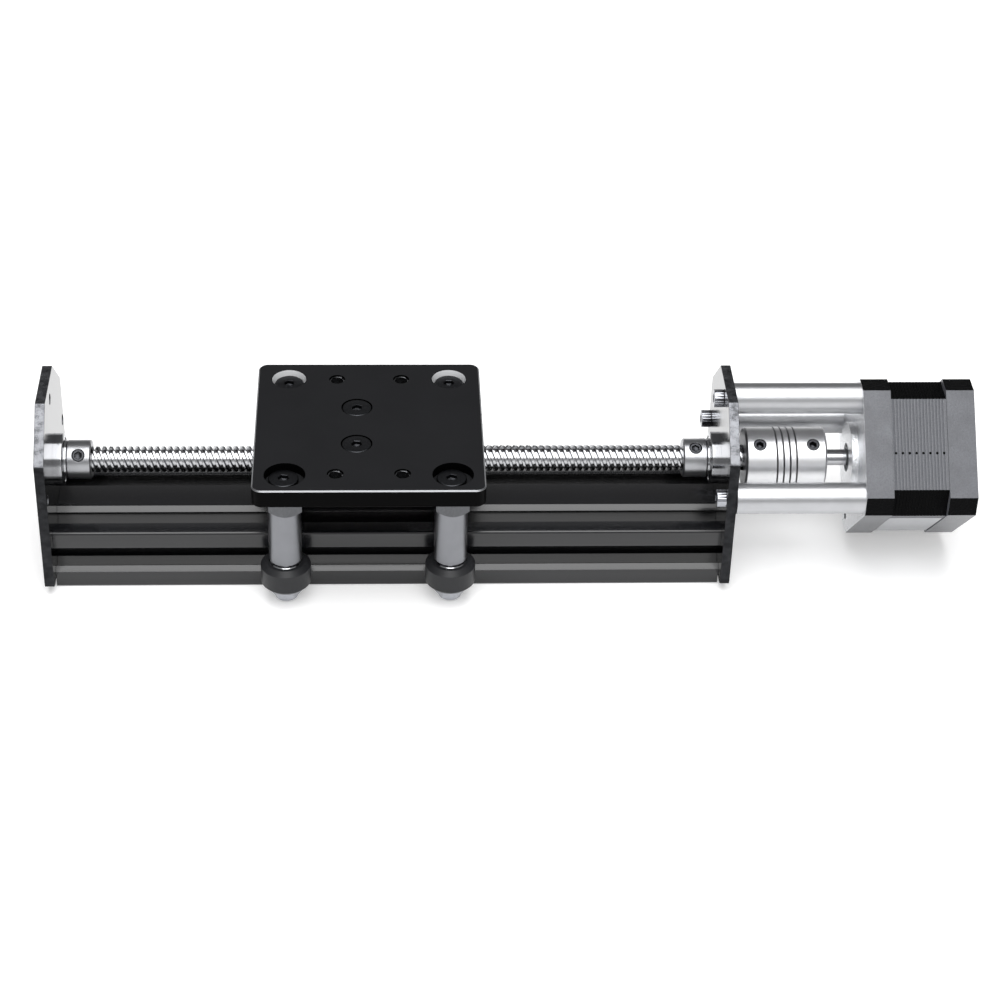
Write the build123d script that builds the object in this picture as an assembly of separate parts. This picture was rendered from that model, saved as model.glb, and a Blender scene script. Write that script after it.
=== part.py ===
"""Lead-screw linear actuator module: a slotted rail, a wheeled carriage and a direct-drive stepper motor.

Frame: millimetres, X along the rail toward the motor, Y across it with -Y at the front, Z up.
Origin: centre of the rail's bottom face. The carriage is drawn at CARRIAGE_X.
"""
import os
from math import sqrt

from build123d import *

# Rail: flat-lying 20 x 40 slotted extrusion
RAIL_LENGTH = 204.0
RAIL_MODULE = 20.0
RAIL_EDGE_RADIUS = 0.6
SLOT_MOUTH = 9.16
SLOT_THROAT = 6.25
SLOT_LIP = 1.8
SLOT_CAVITY = 11.0
SLOT_DEPTH = 6.1
RAIL_WEB = 1.5
CORE_BORE = 4.2
CORE_TAP_DEPTH = 14.0
MARK_GROOVE = 0.5

# Fits
THREAD_GAP = 0.02
SLIP_GAP = 0.05
ROLL_GAP = 0.05
RING_GAP = 0.25
SHIELD_RECESS = 0.15
SHIELD_SHEET = 0.3
RING_EDGE = 0.3

# End plates
END_PLATE_THICKNESS = 3.0
END_PLATE_WIDTH = 49.5
END_PLATE_FOOT = 3.0
END_PLATE_RISE = 27.2
END_PLATE_CORNER_WIDTH = 14.2
END_PLATE_CORNER_DROP = 13.3
END_PLATE_EDGE_RADIUS = 1.0
BEARING_SEAT_DEPTH = 2.0
BEARING_SEAT_HOLE = 13.0

# Screws: thread diameter, head diameter and height, socket width across flats and depth
M3_THREAD = 3.0
M3_HEAD = 5.5
M3_HEAD_HEIGHT = 3.0
M3_SOCKET = 2.5
M3_SOCKET_DEPTH = 1.95
M3_CLEARANCE = 3.4
M5_THREAD = 5.0
M5_HEAD = 9.0
M5_HEAD_HEIGHT = 1.6
M5_SOCKET = 3.0
M5_SOCKET_DEPTH = 1.04
M5_CLEARANCE = 5.3
M4_THREAD = 4.0
M4_SOCKET = 2.0
HEAD_EDGE = 0.25
END_SCREW_LENGTH = 14.0

# Lead screw, its end bearings (8 x 16 x 5) and lock collars
SCREW_DIAMETER = 8.0
SCREW_END_PROUD = 0.6
END_BEARING_OUTER = 16.0
END_BEARING_WIDTH = 5.0
END_BEARING_INNER_LAND = 10.0
END_BEARING_OUTER_LAND = 13.6
END_BALL_COUNT = 10
BALL_GAP = 0.1
END_SHIM = 0.8
END_SHIM_OUTER = 12.0
COLLAR_OUTER = 12.0
COLLAR_LENGTH = 7.5
COLLAR_EDGE = 0.4
COLLAR_SCREW_ANGLE_LEFT = 44.0
COLLAR_SCREW_ANGLE_RIGHT = 25.0
SET_SCREW_SUNK = 0.3

# Beam coupling between the lead screw and the motor shaft
COUPLING_OUTER = 19.0
COUPLING_LENGTH = 25.0
COUPLING_GAP = 4.6
COUPLING_EDGE = 0.6
COUPLING_GRIP = 8.0
COUPLING_RELIEF = 9.0
SLIT_WIDTH = 0.5
SLIT_PITCH = 2.0
SLIT_TURNS = 4.25
COUPLING_SCREW_INSET = 4.3
COUPLING_SCREW_ANGLE = 31.0
COUPLING_SCREW_LENGTH = 4.5

# Carriage plate and nut block
CARRIAGE_X = -6.0
PLATE_LENGTH = 69.4
PLATE_WIDTH = 70.0
PLATE_THICKNESS = 6.0
PLATE_CORNER_RADIUS = 3.0
PLATE_EDGE = 0.4
WHEEL_BASE = 50.0
TAPPED_SPACING = 20.0
COUNTERBORE_FRONT = 12.4
COUNTERBORE_BACK = 10.6
COUNTERBORE_DEPTH = 3.0
NUT_AXIS_DROP = 6.3
NUT_BLOCK_LENGTH = 33.0
NUT_BLOCK_WIDTH = 34.0
NUT_BLOCK_THICKNESS = 12.0
NUT_BLOCK_EDGE = 0.6
NUT_BLOCK_OFFSET = -3.75
NUT_SCREW_SPACING = 20.0
NUT_SCREW_COUNTERBORE = 9.6
NUT_SCREW_SUNK = 0.1
NUT_SCREW_GRIP = 10.0

# Wheel stacks: eccentric or plain spacer, long spacer, shim, wheel on two 5 x 10 x 4 bearings, lock nut
SHORT_SPACER = 6.0
LONG_SPACER = 18.5
SPACER_OUTER = 10.0
SHIM = 1.0
SHIM_OUTER = 8.0
ECCENTRIC_FLATS = 10.0
ECCENTRIC_BOSS = 7.1
ECCENTRIC_BOSS_HEIGHT = 2.5
ECCENTRIC_OFFSET = 0.5
ECCENTRIC_SHIFT = 0.4
ECCENTRIC_TURN = 30.0
ECCENTRIC_FLARE = 10.0
WHEEL_OUTER = 15.23
WHEEL_TIP = 5.78
WHEEL_WIDTH = 8.8
WHEEL_RIB_BORE = 8.6
WHEEL_BEARING_OUTER = 10.0
WHEEL_BEARING_WIDTH = 4.0
WHEEL_BEARING_INNER_LAND = 6.4
WHEEL_BEARING_OUTER_LAND = 8.4
LOCK_NUT_FLATS = 8.0
LOCK_NUT_HEIGHT = 4.5
LOCK_NUT_COLLAR = 7.0
LOCK_NUT_COLLAR_HEIGHT = 1.4

# Motor: 42 mm square stepper, turned by 45 degrees about the shaft
MOTOR_SIZE = 42.3
MOTOR_TURN = 45.0
MOTOR_HOLE_SPACING = 31.0
MOTOR_FRONT_BELL = 8.4
MOTOR_STACK = 17.0
MOTOR_REAR_BELL = 8.6
BELL_CORNER = 4.5
STACK_CORNER = 6.8
STACK_INSET = 0.25
BELL_WALL = 1.5
BELL_CAVITY_MARGIN = 1.0
BELL_HUB = 19.6
PILOT_DIAMETER = 22.0
PILOT_HEIGHT = 2.0
PILOT_HOLE = 9.0
MOUNT_TAP_DEPTH = 4.5
STANDOFF_LENGTH = 39.0
STANDOFF_OUTER = 9.5
MOTOR_SCREW_GRIP = 3.0
SHAFT_DIAMETER = 5.0
SHAFT_LENGTH = 24.0
MOTOR_BEARING_OUTER = 16.0
MOTOR_BEARING_WIDTH = 5.0
MOTOR_BEARING_INNER_LAND = 7.5
MOTOR_BEARING_OUTER_LAND = 13.0
WAVE_WASHER = 0.5
WAVE_WASHER_BORE = 13.4
ROTOR_DIAMETER = 25.0
ROTOR_AIR_GAP = 0.2
ROTOR_CUP_LENGTH = 6.5
ROTOR_MAGNET_LENGTH = 3.0
ROTOR_MAGNET_RECESS = 0.8
POLE_COUNT = 8
POLE_WIDTH = 4.6
POLE_SHOE = 1.6
POLE_OPENING = 2.2
WINDING_DEPTH = 3.2
COIL_SIDE = 2.2
COIL_END = 2.0
COIL_GAP = 0.15
COIL_BACK_GAP = 0.55
CASE_SCREW_SINK = 3.4
CASE_SCREW_GRIP = 3.0
SOCKET_WIDTH = 16.0
SOCKET_AXIAL = 6.6
SOCKET_PROUD = 6.0
SOCKET_WALL = 0.9
SOCKET_ROOT_DEPTH = 2.0
PIN_COUNT = 6
PIN_PITCH = 2.0
PIN_SIZE = 0.5
PIN_LENGTH = 4.0

# Derived places
RAIL_WIDTH = 2 * RAIL_MODULE
RAIL_HEIGHT = RAIL_MODULE
SLOT_BEVEL = (SLOT_MOUTH - SLOT_THROAT) / 2
WHEEL_Z = RAIL_HEIGHT / 2
WHEEL_RIB = SHIM
WHEEL_STACK = 2 * WHEEL_BEARING_WIDTH + SHIM
WHEEL_BEVEL_SUM = WHEEL_OUTER / 2 + WHEEL_TIP / 2
AXLE_Y = RAIL_WIDTH / 2 + WHEEL_BEVEL_SUM - SLOT_MOUTH / 2 + ROLL_GAP * sqrt(2)
STACK_TOP = WHEEL_Z + WHEEL_STACK / 2
LONG_SPACER_Z = STACK_TOP + SHIM
SHORT_SPACER_Z = LONG_SPACER_Z + LONG_SPACER
PLATE_Z = SHORT_SPACER_Z + SHORT_SPACER
PLATE_TOP = PLATE_Z + PLATE_THICKNESS
AXIS_Z = PLATE_Z - NUT_AXIS_DROP
NUT_X = CARRIAGE_X + NUT_BLOCK_OFFSET
RAIL_END = RAIL_LENGTH / 2
CORE_Y = RAIL_MODULE / 2
BEARING_PROUD = END_BEARING_WIDTH - BEARING_SEAT_DEPTH
COLLAR_FACE = RAIL_END - BEARING_PROUD - END_SHIM
MOTOR_PLATE_OUT = RAIL_END + END_PLATE_THICKNESS
MOTOR_FACE = MOTOR_PLATE_OUT + STANDOFF_LENGTH
MOTOR_LENGTH = MOTOR_FRONT_BELL + MOTOR_STACK + MOTOR_REAR_BELL
MOTOR_HOLE_RADIUS = MOTOR_HOLE_SPACING / sqrt(2)
ROTOR_BORE = ROTOR_DIAMETER + 2 * ROTOR_AIR_GAP
POLE_SHOE_RADIUS = ROTOR_BORE / 2 + POLE_SHOE
WINDING_WINDOW = 2 * (POLE_SHOE_RADIUS + WINDING_DEPTH)
BELL_CAVITY = WINDING_WINDOW + 2 * BELL_CAVITY_MARGIN
MOTOR_HOLE_ANGLE = 45.0
MOUNT_HOLE_ANGLE = MOTOR_HOLE_ANGLE + MOTOR_TURN
COUPLING_X = MOTOR_PLATE_OUT + COUPLING_GAP
SCREW_TIP = COUPLING_X + COUPLING_GRIP

FROM_BASE = (Align.CENTER, Align.CENTER, Align.MIN)
FROM_TOP = (Align.CENTER, Align.CENTER, Align.MAX)


def along_x(x, y=0.0, z=AXIS_Z):
    """Place that turns a shape built along +Z to run along +X from the given point."""
    return Pos(x, y, z) * Rot(0, 90, 0)


def motor_place():
    """Place of the motor's own frame: +Z from its mounting face to the rear, +X square to a side."""
    return along_x(MOTOR_FACE) * Rot(0, 0, MOTOR_TURN)


def tube(outer, bore, length):
    """Round tube along +Z that stands on Z = 0."""
    return Cylinder(outer / 2, length, align=FROM_BASE) - Cylinder(bore / 2, length, align=FROM_BASE)


def rod(diameter, length):
    """Round rod along +Z that stands on Z = 0."""
    return Cylinder(diameter / 2, length, align=FROM_BASE)


def around(shape, radius, count=4, start=0.0):
    """Copies of a shape on a circle about Z."""
    return [Rot(0, 0, start + 360 / count * i) * Pos(radius, 0, 0) * shape for i in range(count)]


def socket_screw(thread, length, head, head_height, socket, socket_depth):
    """Screw with its head seated on Z = 0 and its shank hanging down."""
    top = chamfer(rod(head, head_height).edges().group_by(Axis.Z)[-1], HEAD_EDGE)
    shank = Cylinder(thread / 2 - THREAD_GAP, length, align=FROM_TOP)
    recess = extrude(RegularPolygon(socket / 2, 6, major_radius=False), socket_depth)
    return top + shank - Pos(0, 0, head_height - socket_depth) * recess


def m3_screw(length):
    """M3 cap screw."""
    return socket_screw(M3_THREAD, length, M3_HEAD, M3_HEAD_HEIGHT, M3_SOCKET, M3_SOCKET_DEPTH)


def m5_screw(length):
    """M5 screw with a low head."""
    return socket_screw(M5_THREAD, length, M5_HEAD, M5_HEAD_HEIGHT, M5_SOCKET, M5_SOCKET_DEPTH)


def set_screw(thread, length, socket):
    """Headless screw whose outer end lies on Z = 0 and which points down."""
    body = Cylinder(thread / 2 - THREAD_GAP, length, align=FROM_TOP)
    recess = extrude(RegularPolygon(socket / 2, 6, major_radius=False), -length / 2)
    return body - recess


def bearing(bore, outer, width, inner_land, outer_land):
    """Shielded ball bearing on Z = 0: its outer ring with both shields, and its inner ring."""
    shield = inner_land / 2 + RING_GAP
    low, high = SHIELD_RECESS, width - SHIELD_RECESS
    profile = Polyline(
        (outer / 2 - RING_EDGE, 0),
        (outer / 2, RING_EDGE),
        (outer / 2, width - RING_EDGE),
        (outer / 2 - RING_EDGE, width),
        (outer_land / 2, width),
        (outer_land / 2, high),
        (shield, high),
        (shield, high - SHIELD_SHEET),
        (outer_land / 2, high - SHIELD_SHEET),
        (outer_land / 2, low + SHIELD_SHEET),
        (shield, low + SHIELD_SHEET),
        (shield, low),
        (outer_land / 2, low),
        (outer_land / 2, 0),
        close=True,
    )
    ring = revolve(Plane.XZ * make_face(profile), Axis.Z)
    return ring, tube(inner_land, bore, width)


def rail_profile():
    """Cross-section of the extrusion, in Y and Z, centred on its own middle."""
    half = RAIL_MODULE / 2
    foot = half - SLOT_DEPTH
    web = RAIL_WEB / sqrt(2)
    floor = foot - web
    outline = fillet(Rectangle(RAIL_WIDTH, RAIL_HEIGHT).vertices(), RAIL_EDGE_RADIUS)
    slot_half = [
        (SLOT_MOUTH / 2, half),
        (SLOT_THROAT / 2, half - SLOT_BEVEL),
        (SLOT_THROAT / 2, half - SLOT_LIP),
        (SLOT_CAVITY / 2, half - SLOT_LIP),
        (SLOT_CAVITY / 2, SLOT_CAVITY / 2 + web),
        (floor, foot),
    ]
    slot = make_face(Polyline(*slot_half, *[(-x, y) for x, y in reversed(slot_half)], close=True))
    for side in (-1, 1):
        cell = Pos(side * CORE_Y, 0)
        outline -= cell * slot
        outline -= cell * Rot(0, 0, 180) * slot
        outline -= cell * Rot(0, 0, -90 * side) * slot
        outline -= cell * Circle(CORE_BORE / 2)
    wall = half - SLOT_LIP
    core_face = CORE_Y - foot
    crown = core_face - (wall - floor)
    hollow_half = [(core_face, floor), (crown, wall), (-crown, wall), (-core_face, floor)]
    hollow = make_face(Polyline(*hollow_half, *[(-x, -y) for x, y in hollow_half], close=True))
    mark = Rot(0, 0, 45) * Rectangle(MARK_GROOVE, MARK_GROOVE)
    return outline - hollow - Pos(0, half) * mark


def rail():
    """Slotted extrusion with its two core bores tapped at both ends."""
    section = Plane(origin=(-RAIL_END, 0, WHEEL_Z), x_dir=(0, 1, 0), z_dir=(1, 0, 0))
    body = extrude(section * rail_profile(), RAIL_LENGTH)
    for y in (-CORE_Y, CORE_Y):
        for x in (-RAIL_END, RAIL_END - CORE_TAP_DEPTH):
            body -= along_x(x, y, WHEEL_Z) * rod(M5_THREAD, CORE_TAP_DEPTH)
    return body


def end_plate():
    """End plate in its own frame: screw axis on Z = 0 in X, inner face on X = 0, thickness toward +X."""
    half = END_PLATE_WIDTH / 2
    foot = END_PLATE_FOOT - AXIS_Z
    shoulder = END_PLATE_RISE - END_PLATE_CORNER_DROP
    outline = make_face(
        Polyline(
            (-half, foot),
            (half, foot),
            (half, shoulder),
            (half - END_PLATE_CORNER_WIDTH, END_PLATE_RISE),
            (END_PLATE_CORNER_WIDTH - half, END_PLATE_RISE),
            (-half, shoulder),
            close=True,
        )
    )
    outline = fillet(outline.vertices(), END_PLATE_EDGE_RADIUS)
    outline -= Circle(BEARING_SEAT_HOLE / 2)
    for hole in around(Circle(M3_CLEARANCE / 2), MOTOR_HOLE_RADIUS, start=MOUNT_HOLE_ANGLE):
        outline -= hole
    for y in (-CORE_Y, CORE_Y):
        outline -= Pos(y, WHEEL_Z - AXIS_Z) * Circle(M5_CLEARANCE / 2)
    section = Plane(origin=(0, 0, 0), x_dir=(0, 1, 0), z_dir=(1, 0, 0))
    plate = extrude(section * outline, END_PLATE_THICKNESS)
    return plate - Rot(0, 90, 0) * rod(END_BEARING_OUTER, BEARING_SEAT_DEPTH)


def mirrored(shape):
    """Mirror image of a shape in the rail's middle plane."""
    return mirror(shape, Plane.YZ)


def end_screws():
    """Four screws that hold the end plates to the rail's tapped cores."""
    screw = m5_screw(END_SCREW_LENGTH)
    right = [along_x(MOTOR_PLATE_OUT, y, WHEEL_Z) * screw for y in (-CORE_Y, CORE_Y)]
    return right + [mirrored(item) for item in right]


def end_bearings():
    """Outer rings, inner rings and balls of the two lead-screw bearings."""
    outer, inner = bearing(
        SCREW_DIAMETER, END_BEARING_OUTER, END_BEARING_WIDTH, END_BEARING_INNER_LAND, END_BEARING_OUTER_LAND
    )
    ball_diameter = (END_BEARING_OUTER_LAND - END_BEARING_INNER_LAND) / 2 - 2 * BALL_GAP
    ball_circle = (END_BEARING_OUTER_LAND + END_BEARING_INNER_LAND) / 4
    ball = Pos(0, 0, END_BEARING_WIDTH / 2) * Sphere(ball_diameter / 2)
    place = along_x(RAIL_END - BEARING_PROUD)
    groups = []
    for group in ([outer], [inner], around(ball, ball_circle, END_BALL_COUNT)):
        right = [place * item for item in group]
        groups.append(right + [mirrored(item) for item in right])
    return groups


def lead_screw():
    """Lead screw from the free end plate to the middle of the coupling, its ends bevelled."""
    start = -MOTOR_PLATE_OUT - SCREW_END_PROUD
    bar = rod(SCREW_DIAMETER, SCREW_TIP - start)
    return along_x(start) * chamfer(bar.edges().filter_by(GeomType.CIRCLE), COLLAR_EDGE)


def collar(angle):
    """Lock collar on Z = 0 with its radial set screw, turned from the top toward the front by an angle."""
    ring = tube(COLLAR_OUTER, SCREW_DIAMETER, COLLAR_LENGTH)
    rims = ring.edges().filter_by(GeomType.CIRCLE).sort_by(lambda edge: edge.radius)[-2:]
    ring = chamfer(rims, COLLAR_EDGE)
    depth = (COLLAR_OUTER - SCREW_DIAMETER) / 2
    place = Rot(0, 0, angle) * Pos(0, 0, COLLAR_LENGTH / 2) * Rot(0, -90, 0)
    bore = place * Pos(0, 0, SCREW_DIAMETER / 4) * rod(M4_THREAD, COLLAR_OUTER)
    screw = place * Pos(0, 0, COLLAR_OUTER / 2 - SET_SCREW_SUNK) * set_screw(
        M4_THREAD, depth - SET_SCREW_SUNK - SLIP_GAP, M4_SOCKET
    )
    return ring - bore, screw


def collars():
    """Both lock collars, their set screws, and the shims between them and the bearings."""
    left, left_screw = collar(COLLAR_SCREW_ANGLE_LEFT)
    right, right_screw = collar(COLLAR_SCREW_ANGLE_RIGHT)
    left_place = along_x(-COLLAR_FACE)
    right_place = along_x(COLLAR_FACE - COLLAR_LENGTH)
    shim = along_x(COLLAR_FACE) * tube(END_SHIM_OUTER, SCREW_DIAMETER, END_SHIM)
    return (
        [left_place * left, right_place * right],
        [left_place * left_screw, right_place * right_screw],
        [mirrored(shim), shim],
    )


def coupling():
    """Beam coupling: a round body with two grip bores and one helical slit cut through to its relief."""
    body = rod(COUPLING_OUTER, COUPLING_LENGTH)
    body = chamfer(body.edges().filter_by(GeomType.CIRCLE), COUPLING_EDGE)
    slit_height = SLIT_PITCH * SLIT_TURNS
    relief_length = slit_height + SLIT_WIDTH
    relief_z = (COUPLING_LENGTH - relief_length) / 2
    body -= rod(SCREW_DIAMETER, relief_z)
    body -= Pos(0, 0, relief_z) * rod(COUPLING_RELIEF, relief_length)
    body -= rod(SHAFT_DIAMETER, COUPLING_LENGTH)
    inner = COUPLING_RELIEF / 2 - SLIT_WIDTH
    outer = COUPLING_OUTER / 2 + SLIT_WIDTH
    middle = (inner + outer) / 2
    path = Helix(pitch=SLIT_PITCH, height=slit_height, radius=middle)
    cutter = Plane(origin=path @ 0, x_dir=(1, 0, 0), z_dir=path % 0) * Rectangle(outer - inner, SLIT_WIDTH)
    slit = sweep(cutter, path=path, is_frenet=True)
    body -= Pos(0, 0, relief_z + SLIT_WIDTH / 2) * slit
    return body


def coupling_screws():
    """Places of the four radial set screws, two at each end and square to each other."""
    places = []
    for z in (COUPLING_SCREW_INSET, COUPLING_LENGTH - COUPLING_SCREW_INSET):
        for quarter in (0, 90):
            turn = Rot(0, 0, COUPLING_SCREW_ANGLE - quarter)
            places.append(turn * Pos(0, 0, z) * Rot(0, -90, 0))
    return places


def coupling_set():
    """Coupling with its screw holes, and the four set screws."""
    body = coupling()
    screws = []
    for place in coupling_screws():
        body -= place * rod(M4_THREAD, COUPLING_OUTER)
        head = Pos(0, 0, COUPLING_OUTER / 2 - SET_SCREW_SUNK)
        screws.append(place * head * set_screw(M4_THREAD, COUPLING_SCREW_LENGTH, M4_SOCKET))
    place = along_x(COUPLING_X)
    return place * body, [place * item for item in screws]


def axle_places():
    """The four wheel axles as (name, x, y, direction from the rail)."""
    return [
        (f"{row}_{side}", CARRIAGE_X + x * WHEEL_BASE / 2 - shift, y * AXLE_Y, y)
        for row, y, shift in (("front", -1, ECCENTRIC_SHIFT), ("back", 1, 0))
        for side, x in (("left", -1), ("right", 1))
    ]


def gantry_plate():
    """Carriage plate with counterbored axle holes, tapped holes and flush holes for the nut block."""
    outline = RectangleRounded(PLATE_LENGTH, PLATE_WIDTH, PLATE_CORNER_RADIUS)
    plate = Pos(CARRIAGE_X, 0, PLATE_Z) * extrude(outline, PLATE_THICKNESS)
    plate = chamfer(plate.edges().group_by(Axis.Z)[-1] + plate.edges().group_by(Axis.Z)[0], PLATE_EDGE)
    floor = PLATE_TOP - COUNTERBORE_DEPTH
    for _, x, y, side in axle_places():
        front = side < 0
        place = Pos(x + ECCENTRIC_SHIFT, y - ECCENTRIC_OFFSET, 0) if front else Pos(x, y, 0)
        counterbore = COUNTERBORE_FRONT if front else COUNTERBORE_BACK
        through = ECCENTRIC_BOSS if front else M5_CLEARANCE
        plate -= place * Pos(0, 0, floor) * rod(counterbore, COUNTERBORE_DEPTH)
        plate -= place * Pos(0, 0, PLATE_Z) * rod(through, PLATE_THICKNESS)
    for x in (-TAPPED_SPACING / 2, TAPPED_SPACING / 2):
        for y in (-AXLE_Y, AXLE_Y):
            plate -= Pos(CARRIAGE_X + x, y, PLATE_Z) * rod(M5_THREAD, PLATE_THICKNESS)
    sunk = M5_HEAD_HEIGHT + NUT_SCREW_SUNK
    for y in (-NUT_SCREW_SPACING / 2, NUT_SCREW_SPACING / 2):
        plate -= Pos(NUT_X, y, PLATE_Z) * rod(M5_CLEARANCE, PLATE_THICKNESS)
        plate -= Pos(NUT_X, y, PLATE_TOP - sunk) * rod(NUT_SCREW_COUNTERBORE, sunk)
    return plate


def nut_block():
    """Plastic nut block under the plate, bored for the lead screw and tapped for its two screws."""
    block = Box(NUT_BLOCK_LENGTH, NUT_BLOCK_WIDTH, NUT_BLOCK_THICKNESS, align=FROM_TOP)
    block = chamfer(block.edges().filter_by(Axis.Z) + block.edges().group_by(Axis.Z)[0], NUT_BLOCK_EDGE)
    block = Pos(NUT_X, 0, PLATE_Z) * block
    block -= along_x(NUT_X - NUT_BLOCK_LENGTH / 2) * rod(SCREW_DIAMETER + 2 * SLIP_GAP, NUT_BLOCK_LENGTH)
    for y in (-NUT_SCREW_SPACING / 2, NUT_SCREW_SPACING / 2):
        block -= Pos(NUT_X, y, PLATE_Z - NUT_SCREW_GRIP) * rod(M5_THREAD, NUT_SCREW_GRIP)
    return block


def nut_block_screws():
    """Two screws from the plate's top into the nut block."""
    seat = PLATE_TOP - M5_HEAD_HEIGHT - NUT_SCREW_SUNK
    length = seat - PLATE_Z + NUT_SCREW_GRIP
    screw = m5_screw(length)
    return [Pos(NUT_X, y, seat) * screw for y in (-NUT_SCREW_SPACING / 2, NUT_SCREW_SPACING / 2)]


def eccentric_spacer():
    """Hexagon spacer, turned round at its foot, whose bore is set off its boss in the plate."""
    hexagon = RegularPolygon(ECCENTRIC_FLATS / 2, 6, major_radius=False, rotation=ECCENTRIC_TURN)
    blank = Cone(ECCENTRIC_FLATS / 2, ECCENTRIC_FLATS / 2 + ECCENTRIC_FLARE, SHORT_SPACER, align=FROM_BASE)
    body = extrude(hexagon, SHORT_SPACER) & blank
    body += Pos(0, 0, SHORT_SPACER) * rod(ECCENTRIC_BOSS - 2 * SLIP_GAP, ECCENTRIC_BOSS_HEIGHT)
    bore = rod(M5_THREAD + 2 * SLIP_GAP, SHORT_SPACER + ECCENTRIC_BOSS_HEIGHT)
    return Pos(ECCENTRIC_SHIFT, -ECCENTRIC_OFFSET, 0) * body - bore


def lock_nut():
    """Lock nut that hangs from Z = 0, its rounded insert collar below the hexagon."""
    hexagon = LOCK_NUT_HEIGHT - LOCK_NUT_COLLAR_HEIGHT
    body = extrude(RegularPolygon(LOCK_NUT_FLATS / 2, 6, major_radius=False), -hexagon)
    insert = Cylinder(LOCK_NUT_COLLAR / 2, LOCK_NUT_COLLAR_HEIGHT, align=FROM_TOP)
    insert = chamfer(insert.edges().group_by(Axis.Z)[0], HEAD_EDGE)
    body += Pos(0, 0, -hexagon) * insert
    return body - Cylinder(M5_THREAD / 2, LOCK_NUT_HEIGHT, align=FROM_TOP)


def v_wheel():
    """Wheel centred on Z = 0 with two 45-degree running faces and an inner rib between its bearings."""
    half = WHEEL_WIDTH / 2
    rib = WHEEL_RIB / 2
    seat = WHEEL_BEARING_OUTER / 2
    root = WHEEL_BEVEL_SUM - half
    upper = [
        (WHEEL_RIB_BORE / 2, rib),
        (seat, rib),
        (seat, half),
        (root, half),
        (WHEEL_OUTER / 2, WHEEL_TIP / 2),
    ]
    profile = Polyline(*upper, *[(r, -z) for r, z in reversed(upper)], close=True)
    return revolve(Plane.XZ * make_face(profile), Axis.Z)


def wheel_sets():
    """Wheel with its outer rings at each axle by name, and all inner rings and shims."""
    outer, inner = bearing(
        M5_THREAD,
        WHEEL_BEARING_OUTER,
        WHEEL_BEARING_WIDTH,
        WHEEL_BEARING_INNER_LAND,
        WHEEL_BEARING_OUTER_LAND,
    )
    shim = tube(SHIM_OUTER, M5_THREAD + 2 * SLIP_GAP, SHIM)
    wheel = v_wheel()
    wheels, inner_rings, shims = {}, [], []
    for name, x, y, _ in axle_places():
        place = Pos(x, y, WHEEL_Z)
        lower = place * Pos(0, 0, -WHEEL_STACK / 2)
        upper = place * Pos(0, 0, SHIM / 2)
        wheels[name] = (place * wheel, [lower * outer, upper * outer])
        inner_rings += [lower * inner, upper * inner]
        shims += [place * Pos(0, 0, -SHIM / 2) * shim, Pos(x, y, STACK_TOP) * shim]
    return wheels, inner_rings, shims


def axle_hardware():
    """Axle screws, long spacers, eccentric and plain short spacers, and lock nuts."""
    seat = PLATE_TOP - COUNTERBORE_DEPTH
    nut_top = WHEEL_Z - WHEEL_STACK / 2
    length = seat - (nut_top - LOCK_NUT_HEIGHT) - HEAD_EDGE
    screw = m5_screw(length)
    long = tube(SPACER_OUTER, M5_THREAD + 2 * SLIP_GAP, LONG_SPACER)
    short = tube(SPACER_OUTER, M5_THREAD + 2 * SLIP_GAP, SHORT_SPACER)
    names = ("axle_screws", "long_spacers", "eccentric_spacers", "short_spacers", "lock_nuts")
    groups = {name: [] for name in names}
    for _, x, y, side in axle_places():
        groups["axle_screws"].append(Pos(x, y, seat) * screw)
        groups["long_spacers"].append(Pos(x, y, LONG_SPACER_Z) * long)
        if side < 0:
            groups["eccentric_spacers"].append(Pos(x, y, SHORT_SPACER_Z) * eccentric_spacer())
        else:
            groups["short_spacers"].append(Pos(x, y, SHORT_SPACER_Z) * short)
        groups["lock_nuts"].append(Pos(x, y, nut_top) * lock_nut())
    return groups


def motor_outline(corner, inset=0.0):
    """Square of the motor body with its corners cut off."""
    side = MOTOR_SIZE - 2 * inset
    return chamfer(Rectangle(side, side).vertices(), corner)


def bell(length, wall):
    """End bell on Z = 0 with its cavity open upward and a hub bored for a bearing above the wall."""
    hub_height = wall + MOTOR_BEARING_WIDTH
    body = extrude(motor_outline(BELL_CORNER), length)
    cavity = rod(BELL_CAVITY, length - BELL_WALL) - rod(BELL_HUB, hub_height - BELL_WALL)
    body -= Pos(0, 0, BELL_WALL) * cavity
    return body - Pos(0, 0, wall) * rod(MOTOR_BEARING_OUTER, MOTOR_BEARING_WIDTH)


def motor_front_bell():
    """Front bell with its pilot boss, the open hole round the shaft and the tapped mounting holes."""
    body = bell(MOTOR_FRONT_BELL, BELL_WALL)
    body += Pos(0, 0, -PILOT_HEIGHT) * rod(PILOT_DIAMETER, PILOT_HEIGHT)
    body -= Pos(0, 0, -PILOT_HEIGHT) * rod(PILOT_HOLE, PILOT_HEIGHT + BELL_WALL)
    for hole in around(rod(M3_THREAD, MOUNT_TAP_DEPTH), MOTOR_HOLE_RADIUS, start=MOTOR_HOLE_ANGLE):
        body -= hole
    for hole in around(rod(M3_THREAD, CASE_SCREW_GRIP), MOTOR_HOLE_RADIUS, start=MOTOR_HOLE_ANGLE):
        body -= Pos(0, 0, MOTOR_FRONT_BELL - CASE_SCREW_GRIP) * hole
    return body


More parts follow.
